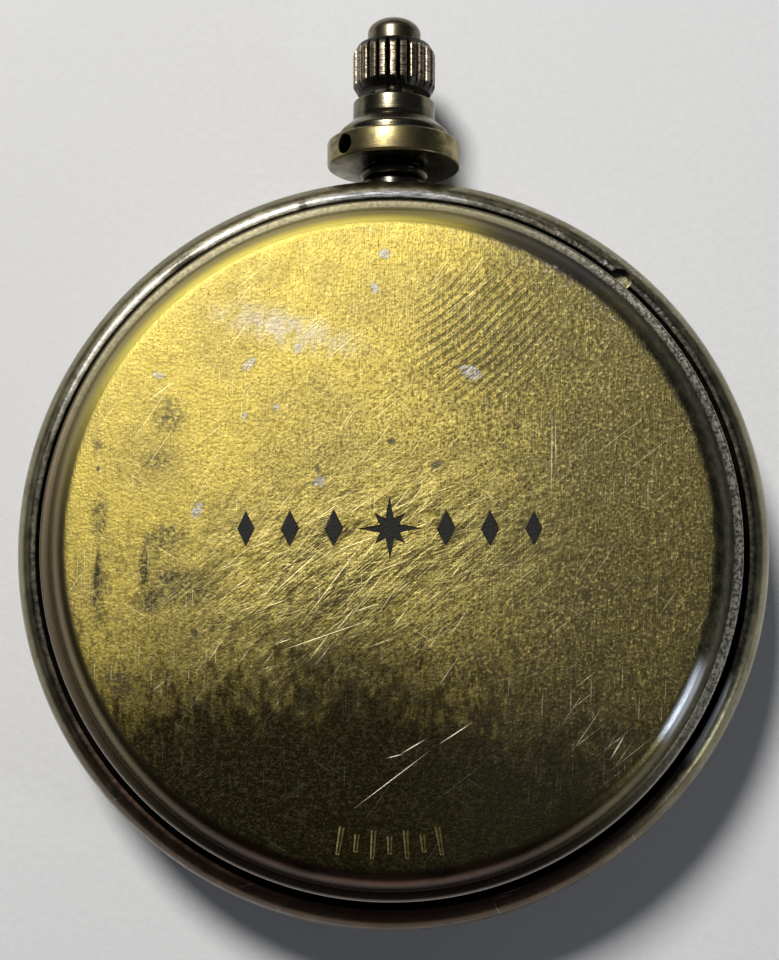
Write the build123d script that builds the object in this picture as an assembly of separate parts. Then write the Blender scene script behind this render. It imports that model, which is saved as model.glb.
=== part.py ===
from build123d import *
from math import cos, radians, sin
import os

# Pocket compass in a hinged brass case, lying on its front lid.
# Millimetres. +Z goes up out of the back cover, +Y points at the crown.
# The origin is the middle of the lid's flat outer face, which rests on the table.

# ---- Case: lid and band -------------------------------------------------
case_radius = 22.5          # widest line of the rim
lid_radius = 22.35
lid_wall = 1.0
lid_floor = 0.75            # sheet thickness of the lid
lid_flat_radius = 18.5
lid_edge_height = 2.4       # where the lid's curved edge meets its upright rim
lid_rim_top = 3.5
lid_inner_radius = lid_radius - lid_wall

band_bottom = 3.6
band_foot_radius = 22.2     # band edge beside the lid
band_belly_low = 4.3
band_belly_high = 6.8
band_bend_radius = 22.05    # where the rounded top of the ring starts
band_bend_height = 8.2
band_crest_radius = 21.3
band_crest_height = 8.72
band_wall_radius = 21.0     # inner wall of the raised outer ring
band_wall_top = 8.5
band_lip_radius = 20.0      # lower lip that holds the bezel
band_lip_top = 4.2
spring_space_radius = 20.6
web_bottom = 6.5
web_top = 7.0               # floor of the groove around the back cover
groove_fillet = 0.4
crest_round = 0.06
neck_radius = 19.7          # upright neck that the back cover snaps over
neck_bore = 19.0
neck_top = 9.7

pry_nick_angle = 50.0       # degrees from +X
pry_nick_radius = 0.7
pry_nick_floor = 8.0

# ---- Back cover ---------------------------------------------------------
skirt_radius = 20.3
skirt_bottom = 7.15
brim_radius = 20.42
brim_bottom = 10.15
brim_top = 10.8
brim_round = 0.12
shoulder_foot_radius = 19.85
shoulder_top_radius = 18.6
shoulder_top = 12.3
dome_top = 12.7
cover_sheet = 0.6
cover_inner_radius = 18.1

# ---- Stamped ornament, filled with black ---------------------------------
star_points = 8
star_long = 1.75
star_short = 1.15
star_waist = 0.48
lozenge_count = 3           # on each side of the star
lozenge_first = 3.2         # distance of the first lozenge from the middle
lozenge_pitch = 2.5
lozenge_half_height = 0.95
lozenge_half_width = 0.45
ornament_height = 0.95      # the row of marks stands this far above the middle
inlay_floor = 12.5
inlay_top = 12.6
foot_mark_radius = 17.0
foot_mark_count = 7
foot_mark_step = 3.2        # degrees
foot_mark_long = 1.6
foot_mark_short = 1.0
foot_mark_wide = 0.24
foot_mark_floor = 12.27

# ---- Hinge --------------------------------------------------------------
hinge_y = -21.9
hinge_z = (lid_rim_top + band_bottom) / 2
pin_radius = 0.3
pin_clearance = 0.03
knuckle_radius = 0.65
centre_knuckle_half = 1.4
outer_knuckle_inner = 1.5
outer_knuckle_outer = 3.0
knuckle_foot = 0.9          # thickness of the foot that joins a knuckle to its half
notch_reach = 0.8           # room around the hinge axis
notch_half = 3.2
relief_half = 5.6
relief_depth = 0.5

# ---- Lid catch ----------------------------------------------------------
catch_half = 2.2
catch_inner = 20.95
catch_bottom = 2.9
catch_top = 3.4
catch_slot_half = 2.4
catch_slot_inner = 19.6

# ---- Bezel, glass and capsule -------------------------------------------
bezel_outer = 20.6
bezel_window = 17.6
bezel_front = 2.4
crystal_radius = 18.2
crystal_front = 2.75
crystal_back = 3.55
bezel_neck_inner = 19.25
bezel_neck_outer = 19.95
bezel_neck_top = 4.2
gasket_back = 3.9
gasket_outer = 18.85
cup_outer = 18.9
cup_inner = 18.3
cup_floor_bottom = 9.2
cup_top = 9.7
ring_inner = 17.5
ring_outer = 19.6
ring_top = 9.95
ring_screw_radius = 18.3
ring_screw_angles = (30, 150, 270)
ring_screw_head = 0.75
ring_screw_head_top = 10.35
ring_screw_shank = 0.3
ring_screw_length = 0.5

# ---- Dial ---------------------------------------------------------------
dial_radius = 18.25
dial_front = 6.2
dial_back = 6.6
degree_ring_inner = 14.6
degree_ring_front = 5.5
spacer_inner = 17.2
pivot_base_radius = 1.6
pivot_base_front = 5.75
pivot_radius = 0.28
pivot_tip = 4.78
pivot_tip_radius = 0.06
pivot_cone = 0.5

# ---- Needle -------------------------------------------------------------
needle_front = 4.55
needle_back = 4.75
needle_reach = 13.6
needle_half_width = 1.25
needle_widest = 2.6         # distance of the widest place from the axis
hub_radius = 1.3
hub_front = 4.25
hub_back = 5.15
hub_cone_radius = 0.62
jewel_clearance = 0.05
jewel_rebate = 0.1          # the stone sits this far below the cap's edge
weight_from = 6.2
weight_to = 7.1
weight_half = 0.95
weight_back = 5.0

# ---- Springs inside the band --------------------------------------------
leaf_inner = 19.85
leaf_outer = 20.15
leaf_bottom = 4.8
leaf_top = 6.1
lock_leaf_angles = (84, 146)
lock_block_angles = (146, 153)
lift_leaf_angles = (207, 254)
lift_block_angles = (200, 207)
block_inner = 19.35
block_outer = 20.35
hook_half = 1.7
hook_stem_outer = 20.5
hook_bottom = 2.2
hook_top = 2.75
hook_reach = 21.15
lift_tip_bottom = 4.25
leaf_screw_head = 0.5
leaf_screw_head_bottom = 4.35
leaf_screw_shank = 0.25
leaf_screw_top = 6.9
leaf_screw_at = 19.85

# ---- Pendant: tube, collar, crown, push piece ----------------------------
stem_z = 6.0                # height of the pendant's axis
tube_socket = 21.5
tube_radius = 1.6
tube_bore = 1.15
tube_top = 26.95
bulge_low = 22.75
bulge_high = 23.55
bulge_radius = 2.06
base_radius = 2.1
base_bottom = 21.9
base_top = 22.65
base_chamfer = 0.15
nut_head_radius = 2.1
nut_head_top = 27.45
nut_plug_bottom = 26.1
nut_bore = 0.75

collar_bottom = 23.6
collar_bore = 1.65
collar_counterbore = 2.2
collar_counterbore_floor = 26.9
flange_radius = 4.07
flange_top = 25.1
bell_low_radius = 3.35
bell_high_radius = 2.6
bell_top = 26.35
cap_radius = 2.5
cap_round = 0.12
collar_top = 27.6
bow_hole_radius = 0.53
bow_hole_y = 24.3
bow_hole_depth = 1.6
bow_hole_angle = 45.0       # from straight up, towards -X

rod_radius = 0.7
rod_tail_radius = 0.4
rod_tail_end = 20.3
rod_step = 22.2
rod_collar_radius = 1.05
rod_collar_low = 25.5
rod_collar_high = 26.0
rod_top = 31.9
tail_clearance = 0.05

crown_bottom = 28.1
crown_top = 31.1
crown_radius = 2.5
crown_flutes = 24
crown_bore = 0.75
crown_chamfer = 0.3
crown_chamfer_rise = 0.5
flute_depth = 0.26
flute_mouth_half = 0.32     # half width of the V groove, as far outside the rim as it is deep
crown_recess_radius = 1.5
crown_recess_top = 28.7
clip_radius = 1.2
clip_low = 28.35
clip_high = 28.6
button_bottom = 31.15
button_radius = 1.62
button_side_top = 31.9
button_top = 32.85

coil_radius = 0.93
coil_wire = 0.11
coil_low = 21.75
coil_high = 25.35
coil_pitch = 0.6

tall = 60.0                 # longer than anything that it cuts


def ring(outer, inner, low, high):
    """Flat ring about the Z axis."""
    return Pos(0, 0, low) * extrude(Circle(outer) - Circle(inner), high - low)


def disc(radius, low, high):
    """Flat disc about the Z axis."""
    return Pos(0, 0, low) * extrude(Circle(radius), high - low)


def block(x, y, z):
    """Box from a low and a high value along each axis."""
    size = [high - low for low, high in (x, y, z)]
    middle = [(high + low) / 2 for low, high in (x, y, z)]
    return Pos(*middle) * Box(*size)


def turned(outline):
    """Turn an outline of (radius, height) points about the Z axis."""
    return revolve(Plane.XZ * make_face(outline), Axis.Z, 360)


stem_plane = Plane((0, 0, stem_z), x_dir=(1, 0, 0), z_dir=(0, 0, 1))
stem_axis = Axis((0, 0, stem_z), (0, 1, 0))
along_stem = Plane((0, 0, stem_z), x_dir=(1, 0, 0), z_dir=(0, 1, 0))


def turned_on_stem(outline):
    """Turn an outline of (radius, y) points about the pendant's axis."""
    return revolve(stem_plane * make_face(outline), stem_axis, 360)


def stem_disc(radius, low, high):
    """Solid cylinder on the pendant's axis."""
    return along_stem * (Pos(0, 0, low) * extrude(Circle(radius), high - low))


def stem_ring(outer, inner, low, high):
    """Flat ring on the pendant's axis."""
    return stem_disc(outer, low, high) - stem_disc(inner, low, high)


def cap_arc(radius, low, high):
    """Arc of a round cap centred on the axis, from its edge to its top."""
    rise = high - low
    sphere = (radius**2 + rise**2) / (2 * rise)
    quarter = (radius / 2, high - sphere + (sphere**2 - (radius / 2) ** 2) ** 0.5)
    return ThreePointArc((radius, low), quarter, (0, high))


def sector(outer, inner, low, high, angles):
    """Part of a ring about Z between two angles in degrees."""
    start, end = angles
    a, b = radians(start), radians(end)
    half = (a + b) / 2
    rim = ThreePointArc(
        (outer * cos(a), outer * sin(a)),
        (outer * cos(half), outer * sin(half)),
        (outer * cos(b), outer * sin(b)),
    )
    bore = ThreePointArc(
        (inner * cos(b), inner * sin(b)),
        (inner * cos(half), inner * sin(half)),
        (inner * cos(a), inner * sin(a)),
    )
    outline = rim + Line(rim @ 1, bore @ 0) + bore + Line(bore @ 1, rim @ 0)
    return Pos(0, 0, low) * extrude(make_face(outline), high - low)


def hinge_rod(radius, start, end):
    """Cylinder along the hinge axis between two x positions."""
    plane = Plane((start, hinge_y, hinge_z), x_dir=(0, 1, 0), z_dir=(1, 0, 0))
    return plane * extrude(Circle(radius), end - start)


# ---- Lid ----------------------------------------------------------------
def front_lid():
    """Dished lid with a notch for the hinge in its closing edge."""
    floor_radius = lid_flat_radius - 0.1
    wall_start = lid_edge_height + 0.1
    outer_edge = TangentArc((lid_flat_radius, 0), (lid_radius, lid_edge_height), tangent=(1, 0))
    inner_edge = TangentArc(
        (floor_radius, lid_floor), (lid_inner_radius, wall_start), tangent=(1, 0)
    )
    outline = (
        Polyline((floor_radius, lid_floor), (0, lid_floor), (0, 0), (lid_flat_radius, 0))
        + outer_edge
        + Polyline(
            (lid_radius, lid_edge_height),
            (lid_radius, lid_rim_top),
            (lid_inner_radius, lid_rim_top),
            (lid_inner_radius, wall_start),
        )
        + inner_edge
    )
    notch = block(
        (-notch_half, notch_half),
        (hinge_y - 2, hinge_y + notch_reach),
        (hinge_z - notch_reach, tall),
    )
    relief = block(
        (-relief_half, relief_half),
        (hinge_y - 2, hinge_y + pin_radius / 3),
        (hinge_z - relief_depth, tall),
    )
    return turned(outline) - notch - relief


def lid_catch():
    """Ledge inside the lid's wall that the lock spring hooks under."""
    ledge = ring(lid_inner_radius, catch_inner, catch_bottom, catch_top)
    return ledge & block((-catch_half, catch_half), (0, tall), (0, tall))


def lid_knuckle(side):
    """Outer hinge knuckle on the lid; side is -1 or 1."""
    inner, outer = side * outer_knuckle_inner, side * outer_knuckle_outer
    start, end = min(inner, outer), max(inner, outer)
    foot = block(
        (start, end),
        (hinge_y - knuckle_foot / 2, hinge_y + knuckle_foot / 2),
        (hinge_z - notch_reach, hinge_z),
    )
    bored = hinge_rod(knuckle_radius, start, end) + foot
    return bored - hinge_rod(pin_radius, start - 1, end + 1)


def hinge_pin():
    """Steel pin, held in the lid's knuckles."""
    return hinge_rod(pin_radius, -outer_knuckle_outer, outer_knuckle_outer)


# ---- Case band and back cover -------------------------------------------
def case_band():
    """Middle of the case: outer ring, web and the neck for the back cover."""
    belly_low = ThreePointArc(
        (band_foot_radius, band_bottom),
        (case_radius - 0.06, (band_bottom + band_belly_low) / 2 + 0.05),
        (case_radius, band_belly_low),
    )
    belly_high = TangentArc(
        (case_radius, band_belly_high), (band_bend_radius, band_bend_height), tangent=(0, 1)
    )
    top = TangentArc(
        belly_high @ 1, (band_crest_radius, band_crest_height), tangent=belly_high % 1
    )
    crest = ThreePointArc(
        (band_crest_radius, band_crest_height),
        ((band_crest_radius + band_wall_radius) / 2 - crest_round, band_crest_height),
        (band_wall_radius, band_wall_top),
    )
    groove_corner = RadiusArc(
        (band_wall_radius, web_top + groove_fillet),
        (band_wall_radius - groove_fillet, web_top),
        groove_fillet,
    )
    outline = (
        belly_low
        + Line(belly_low @ 1, belly_high @ 0)
        + belly_high
        + top
        + crest
        + Line(crest @ 1, groove_corner @ 0)
        + groove_corner
        + Polyline(
            groove_corner @ 1,
            (neck_radius, web_top),
            (neck_radius, neck_top),
            (neck_bore, neck_top),
            (neck_bore, web_bottom),
            (spring_space_radius, web_bottom),
            (spring_space_radius, band_lip_top),
            (band_lip_radius, band_lip_top),
            (band_lip_radius, band_bottom),
            (band_foot_radius, band_bottom),
        )
    )
    band = turned(outline)
    band -= stem_disc(tube_radius, tube_socket, tall)
    band -= stem_disc(base_radius, base_bottom, tall)
    band -= stem_disc(rod_tail_radius + tail_clearance, 0, tall)
    band -= block(
        (-notch_half, notch_half),
        (hinge_y - 2, hinge_y + notch_reach),
        (0, hinge_z + notch_reach),
    )
    band -= block(
        (-catch_slot_half, catch_slot_half),
        (0, spring_space_radius),
        (0, band_lip_top),
    )
    nick = Rot(0, 0, pry_nick_angle) * (
        Pos(band_wall_radius, 0, pry_nick_floor) * extrude(Circle(pry_nick_radius), tall)
    )
    band -= nick
    for angles in (lock_block_angles, lift_block_angles):
        band -= leaf_screw_body(angles)
    return band


def case_knuckle():
    """Centre hinge knuckle on the band, running on the pin."""
    foot = block(
        (-centre_knuckle_half, centre_knuckle_half),
        (hinge_y - knuckle_foot / 2, hinge_y + knuckle_foot / 2),
        (hinge_z, hinge_z + notch_reach),
    )
    bored = hinge_rod(knuckle_radius, -centre_knuckle_half, centre_knuckle_half) + foot
    return bored - hinge_rod(pin_radius + pin_clearance, -tall, tall)


def star_outline():
    """Compass star with long and short points."""
    points = []
    for step in range(star_points * 2):
        angle = radians(90 + step * 180 / star_points)
        if step % 2:
            reach = star_waist
        elif step % 4:
            reach = star_short
        else:
            reach = star_long
        points.append((reach * cos(angle), reach * sin(angle)))
    return make_face(Polyline(*points, close=True))


def lozenge():
    """Small diamond-shaped mark."""
    tall_half, wide_half = lozenge_half_height, lozenge_half_width
    points = ((wide_half, 0), (0, tall_half), (-wide_half, 0), (0, -tall_half))
    return make_face(Polyline(*points, close=True))


def ornament_face():
    """Star with a row of lozenges on each side."""
    face = star_outline()
    for side in (-1, 1):
        for place in range(lozenge_count):
            face += Pos(side * (lozenge_first + place * lozenge_pitch), 0) * lozenge()
    return Pos(0, ornament_height) * face


def foot_marks():
    """Short radial strokes near the lower edge of the back cover."""
    marks = []
    for place in range(foot_mark_count):
        turn = 270 + (place - (foot_mark_count - 1) / 2) * foot_mark_step
        length = foot_mark_short if place % 2 else foot_mark_long
        stroke = Pos(foot_mark_radius, 0) * Rectangle(length, foot_mark_wide)
        marks.append(Rot(0, 0, turn) * stroke)
    return marks


def back_cover():
    """Domed snap-on back with a brim, a steep shoulder and stamped marks."""
    shoulder = TangentArc(
        (shoulder_foot_radius, brim_top), (shoulder_top_radius, shoulder_top), tangent=(0, 1)
    )
    dome = cap_arc(shoulder_top_radius, shoulder_top, dome_top)
    hollow = cap_arc(cover_inner_radius, shoulder_top - cover_sheet, dome_top - cover_sheet)
    outline = (
        shoulder
        + dome
        + Line((0, dome_top), (0, dome_top - cover_sheet))
        + hollow
        + Polyline(
            (cover_inner_radius, shoulder_top - cover_sheet),
            (shoulder_foot_radius - cover_sheet, brim_top - 0.1),
            (neck_radius, neck_top + 0.3),
            (neck_radius, skirt_bottom),
            (skirt_radius, skirt_bottom),
            (skirt_radius, brim_bottom - brim_round),
            (brim_radius, brim_bottom),
            (brim_radius, brim_top - brim_round),
            (brim_radius - brim_round, brim_top),
            (shoulder_foot_radius, brim_top),
        )
    )
    cover = turned(outline)
    cover -= Pos(0, 0, inlay_floor) * extrude(ornament_face(), tall)
    for mark in foot_marks():
        cover -= Pos(0, 0, foot_mark_floor) * extrude(mark, tall)
    return cover


def cover_inlay():
    """Black filling of the stamped star and lozenges."""
    return Pos(0, 0, inlay_floor) * extrude(ornament_face(), inlay_top - inlay_floor)


# ---- Bezel, glass and capsule -------------------------------------------
def bezel_ring():
    """Brass ring that holds the glass, slotted for the lock hook."""
    outline = Polyline(
        (bezel_window, bezel_front),
        (bezel_outer - 0.3, bezel_front),
        (bezel_outer, bezel_front + 0.3),
        (bezel_outer, crystal_back),
        (bezel_neck_outer, crystal_back),
        (bezel_neck_outer, bezel_neck_top),
        (bezel_neck_inner, bezel_neck_top),
        (bezel_neck_inner, crystal_back),
        (crystal_radius, crystal_back),
        (crystal_radius, crystal_front),
        (bezel_window, crystal_front),
        close=True,
    )
    slot = block((-catch_slot_half, catch_slot_half), (catch_slot_inner, tall), (0, tall))
    return turned(outline) - slot


def crystal():
    return disc(crystal_radius, crystal_front, crystal_back)


def crystal_gasket():
    return ring(gasket_outer, bezel_window, crystal_back, gasket_back)


def capsule_cup():
    """Thin cup that carries the dial; its floor is under the back cover."""
    wall = ring(cup_outer, cup_inner, gasket_back, cup_top)
    floor = disc(cup_inner, cup_floor_bottom, cup_top)
    cup = wall + floor
    for angle in ring_screw_angles:
        cup -= ring_screw_body(angle)
    return cup


def retaining_ring():
    """Flat ring that clamps the cup to the neck of the band."""
    clamp = ring(ring_outer, ring_inner, cup_top, ring_top)
    for angle in ring_screw_angles:
        clamp -= ring_screw_body(angle)
    return clamp


def ring_screw_body(angle):
    """Head and shank of one clamp screw, without its slot."""
    head = disc(ring_screw_head, ring_top, ring_screw_head_top)
    shank = disc(ring_screw_shank, cup_top - ring_screw_length, ring_top)
    return Rot(0, 0, angle) * (Pos(ring_screw_radius, 0) * (head + shank))


def ring_screw(angle):
    """Clamp screw with a driver slot."""
    slot = block((-tall, tall), (-0.12, 0.12), (ring_screw_head_top - 0.18, tall))
    return ring_screw_body(angle) - Rot(0, 0, angle) * (Pos(ring_screw_radius, 0) * slot)


# ---- Dial and pivot -----------------------------------------------------
def dial_plate():
    plate = disc(dial_radius, dial_front, dial_back)
    return plate - disc(pivot_radius, 0, tall)


def degree_ring():
    """Sloping scale ring around the dial."""
    outline = Polyline(
        (degree_ring_inner, dial_front),
        (degree_ring_inner + 0.4, dial_front - 0.25),
        (dial_radius, degree_ring_front),
        (dial_radius, dial_front),
        close=True,
    )
    return turned(outline)


def dial_spacer():
    return ring(dial_radius, spacer_inner, dial_back, cup_floor_bottom)


def pivot_base():
    """Turned boss at the middle of the dial."""
    boss = disc(pivot_base_radius, pivot_base_front, dial_front)
    boss = chamfer(boss.edges().group_by(Axis.Z)[0], 0.2)
    return boss - disc(pivot_radius, 0, tall)


def pivot_pin():
    """Pointed steel pin that the needle turns on."""
    outline = Polyline(
        (0, pivot_tip),
        (pivot_tip_radius, pivot_tip),
        (pivot_radius, pivot_tip + pivot_cone),
        (pivot_radius, dial_back),
        (0, dial_back),
        close=True,
    )
    return turned(outline)


# ---- Needle -------------------------------------------------------------
def needle_half(side):
    """One tapered half of the needle; side is 1 for north, -1 for south."""
    points = (
        (-needle_half_width, side * needle_widest),
        (0, side * needle_reach),
        (needle_half_width, side * needle_widest),
        (0.8, 0),
        (-0.8, 0),
    )
    blade = extrude(make_face(Polyline(*points, close=True)), needle_back - needle_front)
    return Pos(0, 0, needle_front) * blade - disc(hub_radius, 0, tall)


def needle_hub():
    """Brass cap at the needle's middle, hollow for the jewel and the pivot."""
    cap = disc(hub_radius, hub_front, hub_back)
    cap = chamfer(cap.edges().group_by(Axis.Z)[0], 0.3)
    cap = chamfer(cap.edges().group_by(Axis.Z)[-1], 0.3)
    return cap - disc(hub_cone_radius, needle_front, tall)


def needle_jewel():
    """Cupped bearing stone seated in the cap."""
    tip = pivot_tip - jewel_clearance
    slope = (pivot_radius - pivot_tip_radius) / pivot_cone
    rim = hub_back - jewel_rebate
    mouth = pivot_tip_radius + jewel_clearance + slope * (rim - tip)
    outline = Polyline(
        (0, needle_front),
        (hub_cone_radius, needle_front),
        (hub_cone_radius, rim),
        (mouth, rim),
        (pivot_tip_radius + jewel_clearance, tip),
        (0, tip),
        close=True,
    )
    return turned(outline)


def needle_weight():
    """Small trim weight on the needle's south half."""
    return block((-weight_half, weight_half), (-weight_to, -weight_from), (needle_back, weight_back))


# ---- Springs in the band ------------------------------------------------
def leaf_screw_body(angles):
    """Head and shank of the screw that holds one leaf spring."""
    middle = sum(angles) / 2
    head = disc(leaf_screw_head, leaf_screw_head_bottom, leaf_bottom)
    shank = disc(leaf_screw_shank, leaf_bottom, leaf_screw_top)
    return Rot(0, 0, middle) * (Pos(leaf_screw_at, 0) * (head + shank))


def leaf_block(angles):
    """Thick end of a leaf spring, screwed to the web."""
    end = sector(block_outer, block_inner, leaf_bottom, web_bottom, angles)
    return end - leaf_screw_body(angles)


def lock_spring():
    """Leaf with the hook that keeps the lid shut."""
    leaf = sector(leaf_outer, leaf_inner, leaf_bottom, leaf_top, lock_leaf_angles)
    stem = block((-hook_half, hook_half), (leaf_inner, hook_stem_outer), (hook_bottom, leaf_bottom + 0.3))
    nose = block((-hook_half, hook_half), (hook_stem_outer, hook_reach), (hook_bottom, hook_top))
    stem -= stem_disc(rod_radius, rod_tail_end - 0.1, tall)
    return leaf + leaf_block(lock_block_angles) + stem + nose


def lift_spring():
    """Leaf that pushes the case open once the hook lets go."""
    leaf = sector(leaf_outer, leaf_inner, leaf_bottom, leaf_top, lift_leaf_angles)
    start, end = lift_leaf_angles
    tip = sector(leaf_outer - 0.2, leaf_inner - 0.2, lift_tip_bottom, leaf_bottom, (end - 8, end))
    joint = sector(leaf_outer, leaf_inner - 0.2, leaf_bottom, leaf_bottom + 0.3, (end - 8, end))
    return leaf + leaf_block(lift_block_angles) + tip + joint


# ---- Pendant ------------------------------------------------------------
def stem_tube():
    """Tube brazed into the band, with a rounded bulge above its foot."""
    bulge = ThreePointArc(
        (tube_radius, bulge_low), (bulge_radius, (bulge_low + bulge_high) / 2), (tube_radius, bulge_high)
    )
    outline = (
        Line((tube_radius, tube_socket), (tube_radius, bulge_low))
        + bulge
        + Polyline(
            (tube_radius, bulge_high),
            (tube_radius, tube_top),
            (tube_bore, tube_top),
            (tube_bore, tube_socket),
            (tube_radius, tube_socket),
        )
    )
    return turned_on_stem(outline)


def neck_base():
    """Ring at the foot of the neck, let into the band."""
    outline = Polyline(
        (tube_radius, base_bottom),
        (base_radius, base_bottom),
        (base_radius, base_top - base_chamfer),
        (base_radius - base_chamfer, base_top),
        (tube_radius, base_top),
        close=True,
    )
    return turned_on_stem(outline)


def tube_nut():
    """Nut in the tube's mouth that keeps the collar and the push rod in."""
    head = stem_disc(nut_head_radius, tube_top, nut_head_top)
    plug = stem_disc(tube_bore, nut_plug_bottom, tube_top)
    return head + plug - stem_disc(nut_bore, 0, tall)


def bow_collar():
    """Stepped collar that swivels on the tube, drilled on both sides for a bow."""
    bell = ThreePointArc(
        (bell_low_radius, flange_top),
        ((bell_low_radius + bell_high_radius) / 2 + 0.2, (flange_top + bell_top) / 2 + 0.12),
        (bell_high_radius, bell_top),
    )
    outline = (
        Polyline(
            (collar_bore, collar_bottom),
            (flange_radius, collar_bottom),
            (flange_radius, flange_top),
            (bell_low_radius, flange_top),
        )
        + bell
        + Polyline(
            (bell_high_radius, bell_top),
            (cap_radius, bell_top),
            (cap_radius, collar_top - cap_round),
            (cap_radius - cap_round, collar_top),
            (collar_counterbore, collar_top),
            (collar_counterbore, collar_counterbore_floor),
            (collar_bore, collar_counterbore_floor),
            (collar_bore, collar_bottom),
        )
    )
    collar = turned_on_stem(outline)
    for turn in (0, 180):
        angle = radians(bow_hole_angle + turn)
        outward = Vector(-sin(angle), 0, cos(angle))
        mouth = Vector(0, bow_hole_y, stem_z) + outward * (flange_radius + 1)
        drill = Plane(mouth, x_dir=(0, 1, 0), z_dir=-outward)
        collar -= drill * extrude(Circle(bow_hole_radius), bow_hole_depth + 1)
    return collar


def push_rod():
    """Rod from the button through the tube to the lock spring."""
    outline = Polyline(
        (0, rod_tail_end),
        (rod_tail_radius, rod_tail_end),
        (rod_tail_radius, rod_step),
        (rod_radius, rod_step),
        (rod_radius, rod_collar_low),
        (rod_collar_radius, rod_collar_low),
        (rod_collar_radius, rod_collar_high),
        (rod_radius, rod_collar_high),
        (rod_radius, rod_top),
        (0, rod_top),
        close=True,
    )
    return turned_on_stem(outline)


def button_cap():
    """Domed thumb piece screwed on the rod's outer end."""
    dome = cap_arc(button_radius, button_side_top, button_top)
    outline = (
        Polyline(
            (0, button_top), (0, rod_top), (rod_radius, rod_top), (rod_radius, button_bottom),
            (button_radius, button_bottom), (button_radius, button_side_top),
        )
        + dome
    )
    return turned_on_stem(outline)


def crown_clip():
    """Clip that keeps the crown on the rod."""
    return stem_ring(clip_radius, rod_radius, clip_low, clip_high)


def fluted_crown():
    """Knurled crown that turns freely on the rod."""
    outline = Polyline(
        (crown_bore, crown_recess_top),
        (crown_recess_radius, crown_recess_top),
        (crown_recess_radius, crown_bottom),
        (crown_radius - crown_chamfer, crown_bottom),
        (crown_radius, crown_bottom + crown_chamfer_rise),
        (crown_radius, crown_top - crown_chamfer_rise),
        (crown_radius - crown_chamfer, crown_top),
        (crown_bore, crown_top),
        close=True,
    )
    crown = turned_on_stem(outline)
    root = (crown_radius - flute_depth, 0)
    mouth = crown_radius + flute_depth
    groove = make_face(Polyline(root, (mouth, flute_mouth_half), (mouth, -flute_mouth_half), close=True))
    cutter = Pos(0, 0, crown_bottom - 1) * extrude(groove, crown_top - crown_bottom + 2)
    for step in range(crown_flutes):
        crown -= along_stem * (Rot(0, 0, step * 360 / crown_flutes) * cutter)
    return crown


def return_spring():
    """Coil under the rod's collar that pushes the button back out."""
    path = Helix(coil_pitch, coil_high - coil_low, coil_radius)
    section = (Plane(path @ 0, z_dir=path % 0)) * Circle(coil_wire)
    coil = sweep(section, path, is_frenet=True)
    return along_stem * (Pos(0, 0, coil_low) * coil)


nodes = {
    "front_lid": front_lid(),
    "lid_catch": lid_catch(),
    "lid_knuckle_left": lid_knuckle(-1),
    "lid_knuckle_right": lid_knuckle(1),
    "hinge_pin": hinge_pin(),
    "case_band": case_band(),
    "case_knuckle": case_knuckle(),
    "back_cover": back_cover(),
    "cover_inlay": cover_inlay(),
    "stem_tube": stem_tube(),
    "neck_base": neck_base(),
    "tube_nut": tube_nut(),
    "bezel_ring": bezel_ring(),
    "crystal": crystal(),
    "crystal_gasket": crystal_gasket(),
    "capsule_cup": capsule_cup(),
    "retaining_ring": retaining_ring(),
    "dial_plate": dial_plate(),
    "degree_ring": degree_ring(),
    "dial_spacer": dial_spacer(),
    "pivot_base": pivot_base(),
    "pivot_pin": pivot_pin(),
    "lock_spring": lock_spring(),
    "lock_spring_screw": leaf_screw_body(lock_block_angles),
    "lift_spring": lift_spring(),
    "lift_spring_screw": leaf_screw_body(lift_block_angles),
    "bow_collar": bow_collar(),
    "push_rod": push_rod(),
    "button_cap": button_cap(),
    "crown_clip": crown_clip(),
    "return_spring": return_spring(),
    "fluted_crown": fluted_crown(),
    "needle_north": needle_half(1),
    "needle_south": needle_half(-1),
    "needle_hub": needle_hub(),
    "needle_jewel": needle_jewel(),
    "needle_weight": needle_weight(),
}
for number, angle in enumerate(ring_screw_angles, 1):
    nodes[f"ring_screw_{number}"] = ring_screw(angle)

os.makedirs("parts", exist_ok=True)
for name, shape in nodes.items():
    export_step(shape, f"parts/{name}.step")
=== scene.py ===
from math import atan2, cos, degrees, hypot, pi, radians, sin, tan, tau

import bmesh
import bpy
from mathutils import Matrix, Vector


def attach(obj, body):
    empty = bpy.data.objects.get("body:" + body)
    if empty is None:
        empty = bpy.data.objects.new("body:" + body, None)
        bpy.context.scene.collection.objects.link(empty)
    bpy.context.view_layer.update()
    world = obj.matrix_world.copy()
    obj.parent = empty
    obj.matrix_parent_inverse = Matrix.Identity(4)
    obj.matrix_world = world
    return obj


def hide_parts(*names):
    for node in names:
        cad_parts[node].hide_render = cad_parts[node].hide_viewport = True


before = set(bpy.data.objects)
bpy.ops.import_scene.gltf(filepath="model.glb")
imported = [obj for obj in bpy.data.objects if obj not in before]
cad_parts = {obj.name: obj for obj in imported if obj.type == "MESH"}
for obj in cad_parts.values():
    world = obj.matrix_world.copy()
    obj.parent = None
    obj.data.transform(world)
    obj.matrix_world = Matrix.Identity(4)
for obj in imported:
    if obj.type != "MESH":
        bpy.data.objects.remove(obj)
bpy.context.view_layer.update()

# Pocket compass in a hinged brass case. Lengths are written in millimetres and
# turned into metres where the meshes and lights are made.
mm = 0.001
stem_height = 6.0  # height of the pendant's axis
around = 288  # segments of a large turned ring


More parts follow.
